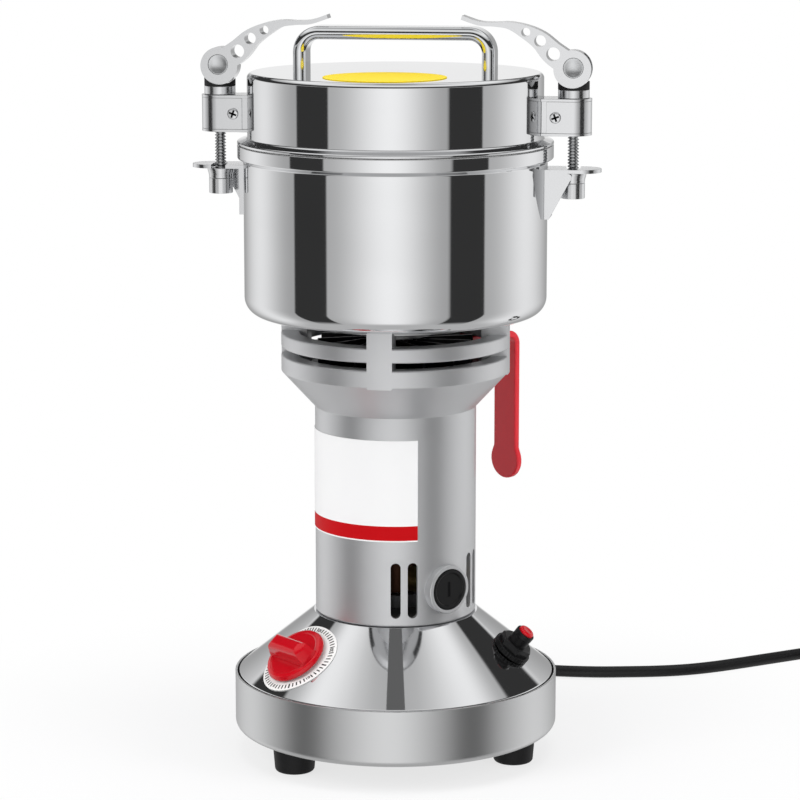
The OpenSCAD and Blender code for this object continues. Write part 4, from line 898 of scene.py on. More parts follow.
@dataclass
class Mains:
    """Mains cord with its gland, its coil and its plug.

    Attributes:
        diameter: Of the cord.
        route: Points of the cord along the worktop, in order.
        inner_turn: Radius of the coil's innermost turn.
        pitch: Distance between neighbouring turns.
        turns: Turns of the coil.
        turn_steps: Points in each turn.
        route_steps: Points between two points of the route.
        gland_at: Distance behind the axis and height of the gland's outer face.
        plug_width: Width of the plug.
        plug_length: Length of the plug's body.
        relief_length: Length of the plug's strain relief.
        grip_pitch: Distance between the grooves in the plug's sides.
    """

    diameter: float = 7.0
    route: tuple[Corner, ...] = (
        (0, 121, 30), (0, 130, 30), (2.5, 141.5, 27.5), (9, 151, 21.5), (18.5, 157.5, 14.5), (30, 160.5, 8.8),
        (43, 161, 5), (57, 160, 3.7), (72, 158.5, 3.5), (88, 158, 3.5), (104, 159, 3.5), (119, 161.5, 3.5),
        (134, 164.5, 3.5), (148, 168.5, 3.5), (161, 174, 3.5), (174, 181.5, 3.5), (187, 190.5, 3.5),
        (200, 200, 3.5), (213, 209.5, 3.5), (226, 219, 3.5), (239, 228.5, 3.5), (252, 238, 3.5),
        (258, 242.4, 3.5))
    inner_turn: float = 35.0
    pitch: float = 7.7
    turns: float = 3.25
    turn_steps: int = 48
    route_steps: int = 5
    gland_at: Point = (90.0, 30.0)
    plug_width: float = 25.0
    plug_length: float = 30.0
    relief_length: float = 22.0
    grip_pitch: float = 4.6

    def heading(self) -> float:
        """Azimuth, in degrees from +X, at which the cord enters its coil."""
        ahead = Vector(self.route[-1]) - Vector(self.route[-2])
        return math.degrees(math.atan2(ahead.y, ahead.x))

    def out_heading(self) -> float:
        """Azimuth, in degrees from +X, at which the cord leaves its coil."""
        return self.heading() - 360 * self.turns

    def ahead(self, degrees: float) -> Vector:
        """A straight stretch of one diameter in a direction."""
        return Vector((math.cos(math.radians(degrees)), math.sin(math.radians(degrees)), 0)) * self.diameter

    def coil(self) -> list[Vector]:
        """Points of the coil: in, up a layer, and out again."""
        side = math.radians(self.heading())
        radius = self.inner_turn + self.pitch * self.turns / 2
        entry = Vector(self.route[-1]) + self.ahead(self.heading())
        centre = entry + radius * Vector((math.sin(side), -math.cos(side), 0))
        points = []
        for step in range(round(self.turns * self.turn_steps) + 1):
            turned = step / self.turn_steps
            from_middle = turned - self.turns / 2
            angle = side + math.pi / 2 - math.tau * turned
            reach = self.inner_turn + self.pitch * abs(from_middle)
            climb = max(0.0, min(1.0, 0.5 + 2 * from_middle))
            height = self.pitch * climb * climb * (3 - 2 * climb)
            points.append(centre + Vector((reach * math.cos(angle), reach * math.sin(angle), height)))
        return points + [points[-1] + 2 * self.ahead(self.out_heading())]

    def build(self) -> None:
        """Builds the cord, the gland and the plug."""
        path = smooth(self.route, self.route_steps) + self.coil()
        curve = bpy.data.curves.new("mains_cord", "CURVE")
        curve.dimensions = "3D"
        curve.bevel_depth = self.diameter / 2 * MM
        curve.bevel_resolution = 5
        curve.use_fill_caps = True
        spline = curve.splines.new("POLY")
        spline.points.add(len(path) - 1)
        for point, place in zip(spline.points, path):
            point.co = (*(place * MM), 1.0)
        spline.use_smooth = True
        curve.materials.append(FINISHES["cord_jacket"].material())
        cord = bpy.data.objects.new("mains_cord", curve)
        bpy.context.scene.collection.objects.link(cord)
        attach(cord, "stand")
        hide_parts("power_cord", "cord_coil")
        length = sum((b - a).length for a, b in zip(path, path[1:])) * MM
        self.gland()
        self.plug(path[-1])
        log.info("mains_cord: %.3f m", length)

    @staticmethod
    def ribbed(start: float, length: float, root: float, tip: float, ribs: int = 6) -> list[Corner]:
        """Outer corners of a strain relief with grooves cut round it.

        Args:
            start: Height at which it starts.
            length: Its length.
            root: Radius of its first rib.
            tip: Radius of its last rib.
            ribs: Number of ribs.

        Returns:
            Corners of the outline.
        """
        corners: list[Corner] = []
        step = length / ribs
        groove = 0.9
        for index in range(ribs):
            low, high = start + index * step, start + (index + 0.62) * step
            wide = root + (tip - root) * index / (ribs - 1)
            corners += [(wide, low, 0.3), (wide, high, 0.3), (wide - groove, high + 0.1 * step, 0.2),
                        (wide - groove, start + (index + 0.9) * step, 0.2)]
        return corners

    def gland(self) -> bpy.types.Object:
        """Snap-in gland with its flange and tapered strain relief."""
        corners = [(0, -2.6, 0), (6, -2.6, 0), (6, 0, 0), (8.5, 0, 0.4), (8.5, 3, 1.0),
                   *self.ribbed(3.0, 27.0, 6.5, 4.9), (4.6, 30.9, 0.4), (0, 30.9, 0)]
        behind, height = self.gland_at
        shape = Shape().turned(corners, 48, 3).placed(shift(y=behind, z=height) @ turn(-90, "X"))
        return add_piece("cord_gland_ribbed", shape, FINISHES["plastic_black"], "stand", ["cord_gland"])

    def plug(self, end: Vector) -> bpy.types.Object:
        """Moulded plug with finger grooves and a ribbed relief."""
        place = shift(*end) @ turn(self.out_heading(), "Z") @ turn(90, "Y")
        ribs = [(radius, self.relief_length - height, size) for radius, height, size in
                self.ribbed(0, self.relief_length, 6.6, 5.0)]
        relief = Shape().turned([(0, 0, 0), *reversed(ribs), (0, self.relief_length, 0)], 40, 3)
        body = Shape().block(2 * end.z, self.plug_width, self.plug_length).softened(4.4, 6)
        for side in (-1, 1):
            for row in range(4):
                middle = shift(side * (end.z + 0.4), self.plug_width / 2, self.grip_pitch * row - 7)
                groove = Shape().rod(1.1, self.plug_width, segments=16).placed(middle @ turn(90, "X"))
                body.carved(groove)
        relief.joined(body.placed(shift(z=self.relief_length + self.plug_length / 2)))
        return add_piece("mains_plug", relief.placed(place), FINISHES["plastic_black"], "stand", ["plug"])


@dataclass
class Base:
    """Base ring, cone, feet, timer dial and knob, and reset button.

    Attributes:
        ring: Outer radius of the ring.
        skirt: Radius of the cone at its foot.
        cone_top: Radius of the cone at its top.
        sheet: Thickness of ring and cone.
        lip: Inner radius of the ring's lip.
        opening: Radius of the opening in the cone's top.
        plate_top: Height at which the cone's skirt stands on the plate.
        foot_circle: Radius of the circle through the feet.
        timer: Azimuth of the timer.
        breaker: Azimuth of the reset button.
        rise: Height of both above the ring.
        dial: Radius of the timer's dial.
        dial_thick: Height of the dial's face over the cone.
        ticks: Ticks round the dial, of which every fifth is bold and every tenth a number.
        print_circle: Radius of the circle through the ticks.
        knob: Radius of the timer's knob.
        knob_gap: Height of the knob's foot over the cone.
        knob_face: Height of the knob's round face.
        grip_top: Height of the knob's bar.
        bush: Radius of the hole through the button's two nuts.
        nuts: Height of the ring nut's top and of the hex nut's.
        knurls: Knurls round the ring nut.
        barrel: Radius of the button's barrel.
        barrel_top: Height of the barrel.
        thread: Pitch of the barrel's thread.
    """

    ring: float = 90.0
    skirt: float = 87.9
    cone_top: float = 45.7
    sheet: float = 1.2
    lip: float = 56.0
    opening: float = 30.0
    plate_top: float = 19.4
    foot_circle: float = 70.5
    timer: float = -44.0
    breaker: float = 77.0
    rise: float = 16.2
    dial: float = 23.0
    dial_thick: float = 0.6
    ticks: int = 60
    print_circle: float = 20.5
    knob: float = 17.7
    knob_gap: float = 1.6
    knob_face: float = 4.6
    grip_top: float = 13.8
    bush: float = 5.55
    nuts: Point = (3.05, 7.1)
    knurls: int = 36
    barrel: float = 5.5
    barrel_top: float = 14.4
    thread: float = 0.9

    @property
    def tilt(self) -> float:
        """Slope of the cone in degrees."""
        return math.degrees(math.atan2(LEVELS.column - LEVELS.ring_top, self.skirt - self.cone_top))

    @property
    def cone_radius(self) -> float:
        """Radius of the cone at the timer and the reset button."""
        return self.skirt - self.rise / math.tan(math.radians(self.tilt))

    def on_cone(self, azimuth: float) -> Matrix:
        """Place on the cone, with Z along its normal and X down its slope."""
        return facing(azimuth) @ shift(self.cone_radius, 0, LEVELS.ring_top + self.rise) @ turn(self.tilt, "Y")

    def wrapped(self, shape: Shape) -> Shape:
        """Lays a flat shape round the cone at the timer, keeping its heights."""
        slope = math.radians(self.tilt)
        for vert in shape.bm.verts:
            down, along, high = vert.co
            reach = self.cone_radius + down * math.cos(slope)
            angle = math.radians(self.timer) + along / reach
            out = reach + high * math.sin(slope)
            vert.co = (out * math.sin(angle), -out * math.cos(angle),
                       LEVELS.ring_top + self.rise - down * math.sin(slope) + high * math.cos(slope))
        return shape

    def shell(self) -> None:
        """Ring and cone."""
        t, foot = self.sheet, LEVELS.foot
        ring = Shape().turned([(self.ring, LEVELS.ring_top, 0.4), (self.ring, foot, 4), (self.lip, foot, 0),
                               (self.lip, foot + t, 0), (self.ring - t, foot + t, 2.8),
                               (self.ring - t, LEVELS.ring_top, 0.4)], 256, 8)
        add_piece("base_ring_brushed", ring, FINISHES["brushed_steel"], "stand", ["base_ring"])
        inset = t * math.tan(math.radians(self.tilt / 2))
        drop = t * math.tan(math.radians((90 - self.tilt) / 2))
        cone = Shape().turned([
            (self.skirt, self.plate_top, 0), (self.skirt, LEVELS.ring_top, t),
            (self.cone_top, LEVELS.column, 0.5), (self.opening, LEVELS.column, 0),
            (self.opening, LEVELS.column - t, 0),
            (self.cone_top - inset, LEVELS.column - t, 0), (self.skirt - t, LEVELS.ring_top - drop, 0),
            (self.skirt - t, self.plate_top, 0)], 320, 8)
        add_piece("base_cone_polished", cone, FINISHES["polished_steel"], "stand", ["base_cone"])

    def feet(self) -> None:
        """Three rubber feet with a hollow for their screws."""
        feet = Shape()
        for index in range(3):
            foot = Shape().turned([(2.05, 6, 0), (4.7, 6, 0), (4.7, 0, 0.4), (10.8, 0, 2), (12, 14.6, 0.4),
                                   (2.05, 14.95, 0)], 64, 5)
            feet.joined(foot.placed(facing(self.timer + 120 * index) @ shift(self.foot_circle)))
        add_piece("rubber_feet_moulded", feet, FINISHES["rubber_black"], "stand", ["rubber_feet"])

    def timer_face(self) -> None:
        """White dial on the cone, with its printed ticks and numbers."""
        top = self.dial_thick
        plate = Shape().turned([(4.8, 0.05, 0), (self.dial, 0.05, 0.1), (self.dial, top, 0.2),
                                (4.8, top, 0)], 96, 3)
        plate.split((0, 0, top / 2), (0, 0, 1))
        wide = [edge for edge in plate.bm.edges if edge.calc_length() > 6]
        bmesh.ops.subdivide_edges(plate.bm, edges=wide, cuts=8, use_grid_fill=True)
        add_piece("timer_dial_white", self.wrapped(plate), FINISHES["plastic_white"], "stand", ["timer_dial"])
        ink = Shape()
        for index in range(self.ticks):
            place = turn(360 * index / self.ticks, "Z")
            if index % 10 == 0:
                place = place @ shift(self.print_circle - 0.1, 0, top + 0.01) @ turn(90, "Z")
                ink.joined(self.number(str(index)).placed(place))
                continue
            bold = index % 5 == 0
            tick = Shape().block(2.9 if bold else 2.5, 0.8 if bold else 0.62, 0.08)
            ink.joined(tick.placed(place @ shift(self.print_circle, 0, top + 0.05)))
        add_piece("timer_dial_print", self.wrapped(ink), FINISHES["print_ink_and_painted_shade"], "stand")

    @staticmethod
    def number(text: str, size: float = 2.7, thick: float = 0.04) -> Shape:
        """A flat number, centred on the origin, that stands on the XY plane."""
        curve = bpy.data.curves.new("number", "FONT")
        curve.body = text
        curve.size = size
        curve.align_x = curve.align_y = "CENTER"
        curve.extrude = thick
        curve.offset = 0.05
        made = bpy.data.objects.new("number", curve)
        bpy.context.scene.collection.objects.link(made)
        mesh = bpy.data.meshes.new_from_object(made.evaluated_get(bpy.context.evaluated_depsgraph_get()))
        shape = Shape()
        shape.bm.from_mesh(mesh)
        bmesh.ops.translate(shape.bm, verts=shape.bm.verts[:], vec=(0, 0, thick))
        bpy.data.objects.remove(made)
        bpy.data.curves.remove(curve)
        bpy.data.meshes.remove(mesh)
        return shape

    def timer_knob(self) -> None:
        """Round red knob with a raised bar to grip."""
        edge, low, face, top = self.knob, self.knob_gap, self.knob_face, self.grip_top
        disc = Shape().turned([
            (9.6, low, 0), (edge, low, 0.5), (edge, 2.9, 0.5), (edge - 0.9, 4.5, 1.3), (edge - 2.9, 5.0, 0.7),
            (edge - 3.8, face, 0.7), (0, face, 0), (0, 4.0, 0), (9.6, 4.0, 0)], 128, 6)
        bar = Shape().slab(rounded([
            (-6.4, 2.4, 0), (6.4, 2.4, 0), (5.1, 7.4, 3.0), (4.5, top, 4.3), (-4.5, top, 4.3),
            (-5.1, 7.4, 3.0)], 10), 2 * edge)
        ends = Shape().turned([
            (0, 2.0, 0), (edge - 1.3, 2.0, 0), (edge - 1.7, 6.5, 4.0), (edge - 5.2, top, 4.6),
            (0, top, 0)], 96, 10)
        disc.carved(bar.carved(ends, Carving.KEEP), Carving.JOIN)
        add_piece("timer_knob_red", disc.placed(self.on_cone(self.timer)), FINISHES["plastic_red"], "timer",
                  ["timer_knob"])

    def reset_button(self) -> None:
        """Barrel with its knurled ring nut and hex nut, and the red button in it."""
        place = self.on_cone(self.breaker)
        bore, (ring_top, hex_top) = self.bush, self.nuts
        ring = Shape().turned([(bore, 0.05, 0), (11, 0.05, 0.4), (11, ring_top, 0.5),
                               (bore, ring_top, 0)], 144, 3)
        for index in range(self.knurls):
            ring.carved(Shape().rod(0.62, 8, segments=8).placed(
                turn(360 * index / self.knurls, "Z") @ shift(11.25, 0, -2)))
        black = FINISHES["plastic_black"]
        add_piece("reset_ring_nut", ring.placed(place), black, "stand", ["breaker_ring_nut"])
        hexagon = Shape().turned([(bore, ring_top + 0.05, 0), (9.82, ring_top + 0.05, 0), (9.82, hex_top, 0),
                                  (bore, hex_top, 0)], 6, 2)
        crown = Shape().turned([(0, 2.0, 0), (10.4, 2.0, 0), (9.9, 6.0, 0), (8.3, 7.2, 0), (0, 7.2, 0)], 64, 2)
        hexagon.carved(crown, Carving.KEEP).softened(0.25, 2)
        add_piece("reset_hex_nut", hexagon.placed(place), black, "stand", ["breaker_hex_nut"])
        crest, root, top = self.barrel, self.barrel - 0.3, self.barrel_top
        corners: list[Corner] = [(4.5, top, 0.3), (4.5, 4.9, 0), (0, 4.9, 0), (0, -2.4, 0), (root, -2.4, 0)]
        for row in range(15):
            low = self.thread * row - 1.6
            corners += [(root, low, 0), (crest, low + self.thread / 2, 0.1)]
        corners += [(crest, 13.2, 0), (crest, top, 0.5)]
        barrel = Shape().turned(corners, 56, 2)
        barrel.joined(Shape().block(30, 15, 26).softened(1.0, 2).placed(shift(z=-15.4)))
        add_piece("reset_barrel", barrel.placed(place), black, "stand", ["breaker_body"])
        button = Shape().turned([(0, 7, 0), (4.4, 7, 0), (4.4, 15.8, 1.0), (2.6, 16.0, 2.5),
                                 (0, 15.7, 0)], 48, 6)
        add_piece("reset_button_red", button.placed(place), FINISHES["plastic_red"], "reset_button",
                  ["breaker_button"])

    def build(self) -> None:
        """Builds the base from the ring up."""
        self.shell()
        self.feet()
        self.timer_face()
        self.timer_knob()
        self.reset_button()


@dataclass
class Column:
    """Cast motor housing with its label, brush caps and carry handle.

    Attributes:
        radius: Outer radius of the column.
        bore: Inner radius of the column.
        flange: Outer radius of the flange and of the ring above it.
        pillar: Width of a pillar in the air slots.
        slot_floor: Radius at which the air slots end.
        ring_bore: Inner radius of the ring above the flange.
        vents: Azimuths of the vents on the front half.
        vent: Width of a vent, its length between its round ends and the height at which it starts.
        brush: Azimuth of the front brush cap.
        brush_height: Height of the brush caps.
        boss: Radius of the boss round a brush cap.
        boss_face: Distance of the boss's face from the motor's axis.
        cap: Radius of a brush cap.
        cap_slot: Length and width of the slot across a brush cap.
        label_azimuth: Azimuth of the label's middle.
        label_span: Angle that the label covers.
        label: Heights of the label's edges.
        label_face: Radii of the label's back and face.
        handle: Azimuth of the carry handle.
        strap: Width and thickness of the handle's strap.
        strap_reach: Distance of the hanging grip from the motor's axis.
        strap_root: The same for the strap's hidden end.
        strap_bend: Radius of the bend, in the strap's middle.
        strap_end: Radius of the grip's round end.
        strap_low: Height of that end's centre.
        bend_steps: Steps of the bend.
    """

    radius: float = 44.6
    bore: float = 41.6
    flange: float = 63.0
    pillar: float = 13.6
    slot_floor: float = 54.0
    ring_bore: float = 53.0
    vents: tuple[float, ...] = (8.0, 20.0, 72.5, 84.0)
    vent: tuple[float, float, float] = (5.5, 31.0, 86.0)
    brush: float = 46.5
    brush_height: float = 100.6
    boss: float = 13.6
    boss_face: float = 47.6
    cap: float = 11.35
    cap_slot: Point = (8.4, 1.9)
    label_azimuth: float = -44.0
    label_span: float = 135.0
    label: Point = (128.8, 184.8)
    label_face: Point = (44.65, 45.0)
    handle: float = 140.5
    strap: Point = (17.5, 3.8)
    strap_reach: float = 86.4
    strap_root: float = 50.0
    strap_bend: float = 6.0
    strap_end: float = 11.0
    strap_low: float = 154.15
    bend_steps: int = 14

    def housing(self) -> None:
        """Casting with its vents, bosses, air slots and pillars."""
        r, b, f, lv = self.radius, self.bore, self.flange, LEVELS
        shell = Shape().turned([
            (b, lv.column, 0), (r, lv.column, 2.5), (r, lv.flare, 1.0), (f, lv.rim, 1.0), (f, lv.slot, 1.0),
            (self.slot_floor, lv.slot, 0.6), (self.slot_floor, lv.rim, 3), (b, lv.flare + 3, 3)], 240, 6)
        shell.joined(Shape().turned([
            (self.ring_bore, lv.mid_ring, 0.5), (f, lv.mid_ring, 1.0), (f, lv.mid_ring_top, 1.0),
            (self.ring_bore, lv.mid_ring_top, 0.5)], 240, 6))
        posts = Shape()
        foot = lv.rim - 1
        for index in range(4):
            post = Shape().block(16, self.pillar, lv.pot - foot).softened(0.5, 2)
            posts.joined(post.placed(turn(90 * index, "Z") @ shift(f - 7, 0, (lv.pot + foot) / 2 - 0.05)))
        rim = Shape().rod(f - 0.02, 60, segments=240).placed(shift(z=200))
        shell.carved(posts.carved(rim, Carving.KEEP), Carving.JOIN)
        bosses, cuts = Shape(), Shape()
        for azimuth in (self.brush, self.brush + 180):
            place = facing(azimuth) @ shift(z=self.brush_height) @ turn(90, "Y")
            bosses.joined(Shape().turned([
                (0, b + 0.5, 0), (self.boss, b + 0.5, 0), (self.boss, self.boss_face, 0.8),
                (0, self.boss_face, 0)], 96, 4).placed(place))
            cuts.joined(Shape().rod(self.cap + 0.15, 8, segments=72).placed(place @ shift(z=42.6)))
            cuts.joined(Shape().rod(7.05, 12, segments=48).placed(place @ shift(z=34)))
        shell.carved(bosses, Carving.JOIN)
        shell.carved(cuts)
        wide, tall, low = self.vent
        slots = Shape()
        for azimuth in [vent + side for vent in self.vents for side in (0, 180)]:
            half = wide / 2
            outline = rounded([(-half, 0, half), (half, 0, half), (half, tall, half), (-half, tall, half)], 8)
            slot = Shape().slab(outline, 12)
            slots.joined(slot.placed(facing(azimuth) @ shift(43, 0, low) @ turn(90, "Z")))
        shell.carved(slots)
        add_piece("motor_housing_cast", shell, FINISHES["cast_paint"], "stand", ["motor_housing"], sharp=28.0)

    def label_plate(self) -> None:
        """Bare curved label with a red band."""
        low, high = self.label
        back, front = self.label_face
        plate = Shape()
        corners = [(back, low, 0), (front, low, 0.1), (front, high, 0.1), (back, high, 0)]
        edges = plate.outline(rounded(corners, 2))
        face = bmesh.ops.contextual_create(plate.bm, geom=edges)["faces"]
        bmesh.ops.spin(plate.bm, geom=face + edges, cent=(0, 0, 0), axis=(0, 0, 1),
                       angle=math.radians(self.label_span), steps=96)
        plate.closed().placed(facing(self.label_azimuth) @ turn(-self.label_span / 2, "Z"))
        add_piece("label_bare", plate, FINISHES["label_white"], "stand", ["label_plate"])

    def brush_caps(self) -> None:
        """Black screw caps over the brushes, with a dark sheet of painted shade in each slot."""
        caps, shades = Shape(), Shape()
        long, wide = self.cap_slot
        for azimuth in (self.brush, self.brush + 180):
            cap = Shape().turned([(0, 0, 0), (self.cap, 0, 0), (self.cap, 5, 0.9), (9.4, 5, 0.5),
                                  (8.9, 4.3, 0.4), (0, 4.3, 0)], 96, 4)
            cap.carved(Shape().block(long, wide, 4).placed(shift(z=4.2)))
            place = (facing(azimuth) @ shift(z=self.brush_height) @ turn(90, "Y")
                     @ shift(z=self.boss_face - 4.95))
            caps.joined(cap.placed(place))
            # A dark sheet just under the cap's face in the slot: painted shade that hides what lies below.
            shades.joined(Shape().block(long - 0.1, wide - 0.1, 0.3).placed(place @ shift(z=4.0)))
        add_piece("brush_caps_black", caps, FINISHES["plastic_black"], "stand", ["brush_caps"])
        add_piece("brush_caps_shade", shades, FINISHES["print_ink_and_painted_shade"], "stand")

    def carry_handle(self) -> None:
        """Dipped strap: flat arm in the air slot, bend and hanging grip with a round end."""
        wide, thick = self.strap
        level = (LEVELS.slot + LEVELS.mid_ring) / 2
        straight = self.strap_reach - self.strap_bend - self.strap_root
        bend = self.strap_bend * math.pi / 2
        end = straight + bend + level - self.strap_bend - self.strap_low
        half = wide / 2
        angles = [math.radians(degrees) for degrees in range(-115, 116, 10)]
        arc = [(end + self.strap_end * math.cos(angle), self.strap_end * math.sin(angle), 0.0)
               for angle in angles]
        outline = rounded([(0, -half, 1), (end - 7.5, -half, 4), *arc, (end - 7.5, half, 4), (0, half, 1)], 5)
        strap = Shape().slab(outline, thick).softened(1.25, 4)
        for index in range(self.bend_steps + 1):
            strap.split((straight + bend * index / self.bend_steps, 0, 0), (1, 0, 0))
        for vert in strap.bm.verts:
            along, out, across = vert.co.x, -vert.co.y, vert.co.z
            angle = max(0.0, min(bend, along - straight)) / self.strap_bend
            reach = self.strap_bend + out
            x = self.strap_root + min(along, straight) + reach * math.sin(angle)
            z = level - self.strap_bend + reach * math.cos(angle) - max(0.0, along - straight - bend)
            vert.co = (x, across, z)
        bmesh.ops.recalc_face_normals(strap.bm, faces=strap.bm.faces[:])
        add_piece("carry_handle_dipped", strap.placed(facing(self.handle)), FINISHES["vinyl_red"], "stand",
                  ["carry_handle"], sharp=40.0)

    def build(self) -> None:
        """Builds the column from the housing outwards."""
        self.housing()
        self.label_plate()
        self.brush_caps()
        self.carry_handle()


@dataclass
class Vessel:
    """Pot and lid, with the lid's handle and bare disc.

    Attributes:
        pot: Outer radius of the pot.
        wall: Thickness of its steel.
        collar: Outer radius of its collar.
        shaft_hole: Radius of the hole in the pot's floor.
        lid: Outer radius of the lid.
        lid_sheet: Thickness of the lid.
        lid_foot: Height of the lid's lowest edge, inside the collar.
        bead_side: Height at which the lid's bead starts to round over.
        handle_span: Span of the lid handle.
        handle_top: Height of its top.
        bar: Thickness and width of its bar.
        bar_bend: Radius of its bends, in the bar's middle.
        bend_steps: Steps of each bend.
        disc: Radius of the disc.
        disc_setback: Distance of the disc's centre in front of the motor's axis.
    """

    pot: float = 83.0
    wall: float = 1.3
    collar: float = 86.25
    shaft_hole: float = 12.0
    lid: float = 80.7
    lid_sheet: float = 1.2
    lid_foot: float = 335.3
    bead_side: float = 343.3
    handle_span: float = 110.0
    handle_top: float = 405.0
    bar: Point = (7.0, 22.0)
    bar_bend: float = 10.5
    bend_steps: int = 16
    disc: float = 33.0
    disc_setback: float = 41.0

    def pot_shell(self) -> None:
        """Polished pot with its wider collar."""
        p, w, c, hole, lv = self.pot, self.wall, self.collar, self.shaft_hole, LEVELS
        pot = Shape().turned([
            (hole, lv.pot, 0), (p, lv.pot, 10), (p, lv.collar - 1, 0.9), (c, lv.collar + 1, 0.9),
            (c, lv.pot_top, 0.55), (c - w, lv.pot_top, 0.5), (c - w, lv.collar + 1.4, 0.4),
            (p - w, lv.collar - 0.6, 0.4), (p - w, lv.pot + w, 8.7), (hole, lv.pot + w, 0)], 384, 10)
        add_piece("pot_polished", pot, FINISHES["polished_steel"], "stand", ["pot"])

    def lid_shell(self) -> None:
        """Polished lid with the bead that rests over the collar."""
        r, t, c, lv = self.lid, self.lid_sheet, self.collar, LEVELS
        lid = Shape().turned([
            (r - t, self.lid_foot, 0), (r, self.lid_foot, 0), (r, lv.bead, 0.2), (c, lv.bead, 0.6),
            (c, self.bead_side, 0.9), (r, lv.bead_top, 1.0), (r, lv.lid_top, 3.0), (0, lv.lid_top, 0),
            (0, lv.lid_top - t, 0), (r - t, lv.lid_top - t, 1.8)], 384, 8)
        add_piece("lid_polished", lid, FINISHES["polished_steel"], "lid", ["lid"])

    def lid_handle(self) -> None:
        """Chrome bar bent into a low arch."""
        thick, wide = self.bar
        round_edge = thick / 2 - 0.1
        section = rounded([(-thick / 2, -wide / 2, round_edge), (thick / 2, -wide / 2, round_edge),
                           (thick / 2, wide / 2, round_edge), (-thick / 2, wide / 2, round_edge)], 8)
        x, top, bend = self.handle_span / 2 - thick / 2, self.handle_top - thick / 2, self.bar_bend
        path = [Vector((-x, 0, LEVELS.lid_top)), Vector((-x, 0, LEVELS.lid_top + 1.0))]
        for side in (-1, 1):
            for step in range(self.bend_steps + 1):
                angle = 90 * step / self.bend_steps
                angle = math.radians(angle if side < 0 else 90 - angle)
                path.append(Vector((side * (x - bend) + side * bend * math.cos(angle), 0,
                                    top - bend + bend * math.sin(angle))))
        path += [Vector((x, 0, LEVELS.lid_top + 1.0)), Vector((x, 0, LEVELS.lid_top))]
        bar = Shape().swept(section, path, Vector((0, 1, 0)))
        add_piece("lid_handle_chrome", bar, FINISHES["chrome_bar"], "lid", ["lid_handle"])

    def lid_disc(self) -> None:
        """Bare yellow disc on the lid."""
        disc = Shape().turned([(0, 0.02, 0), (self.disc, 0.02, 0.1), (self.disc, 0.4, 0.12),
                               (0, 0.4, 0)], 96, 3)
        disc.placed(shift(0, -self.disc_setback, LEVELS.lid_top))
        add_piece("lid_disc_bare", disc, FINISHES["label_yellow"], "lid", ["lid_disc"])

    def build(self) -> None:
        """Builds the pot, then the lid."""
        self.pot_shell()
        self.lid_shell()
        self.lid_handle()
        self.lid_disc()


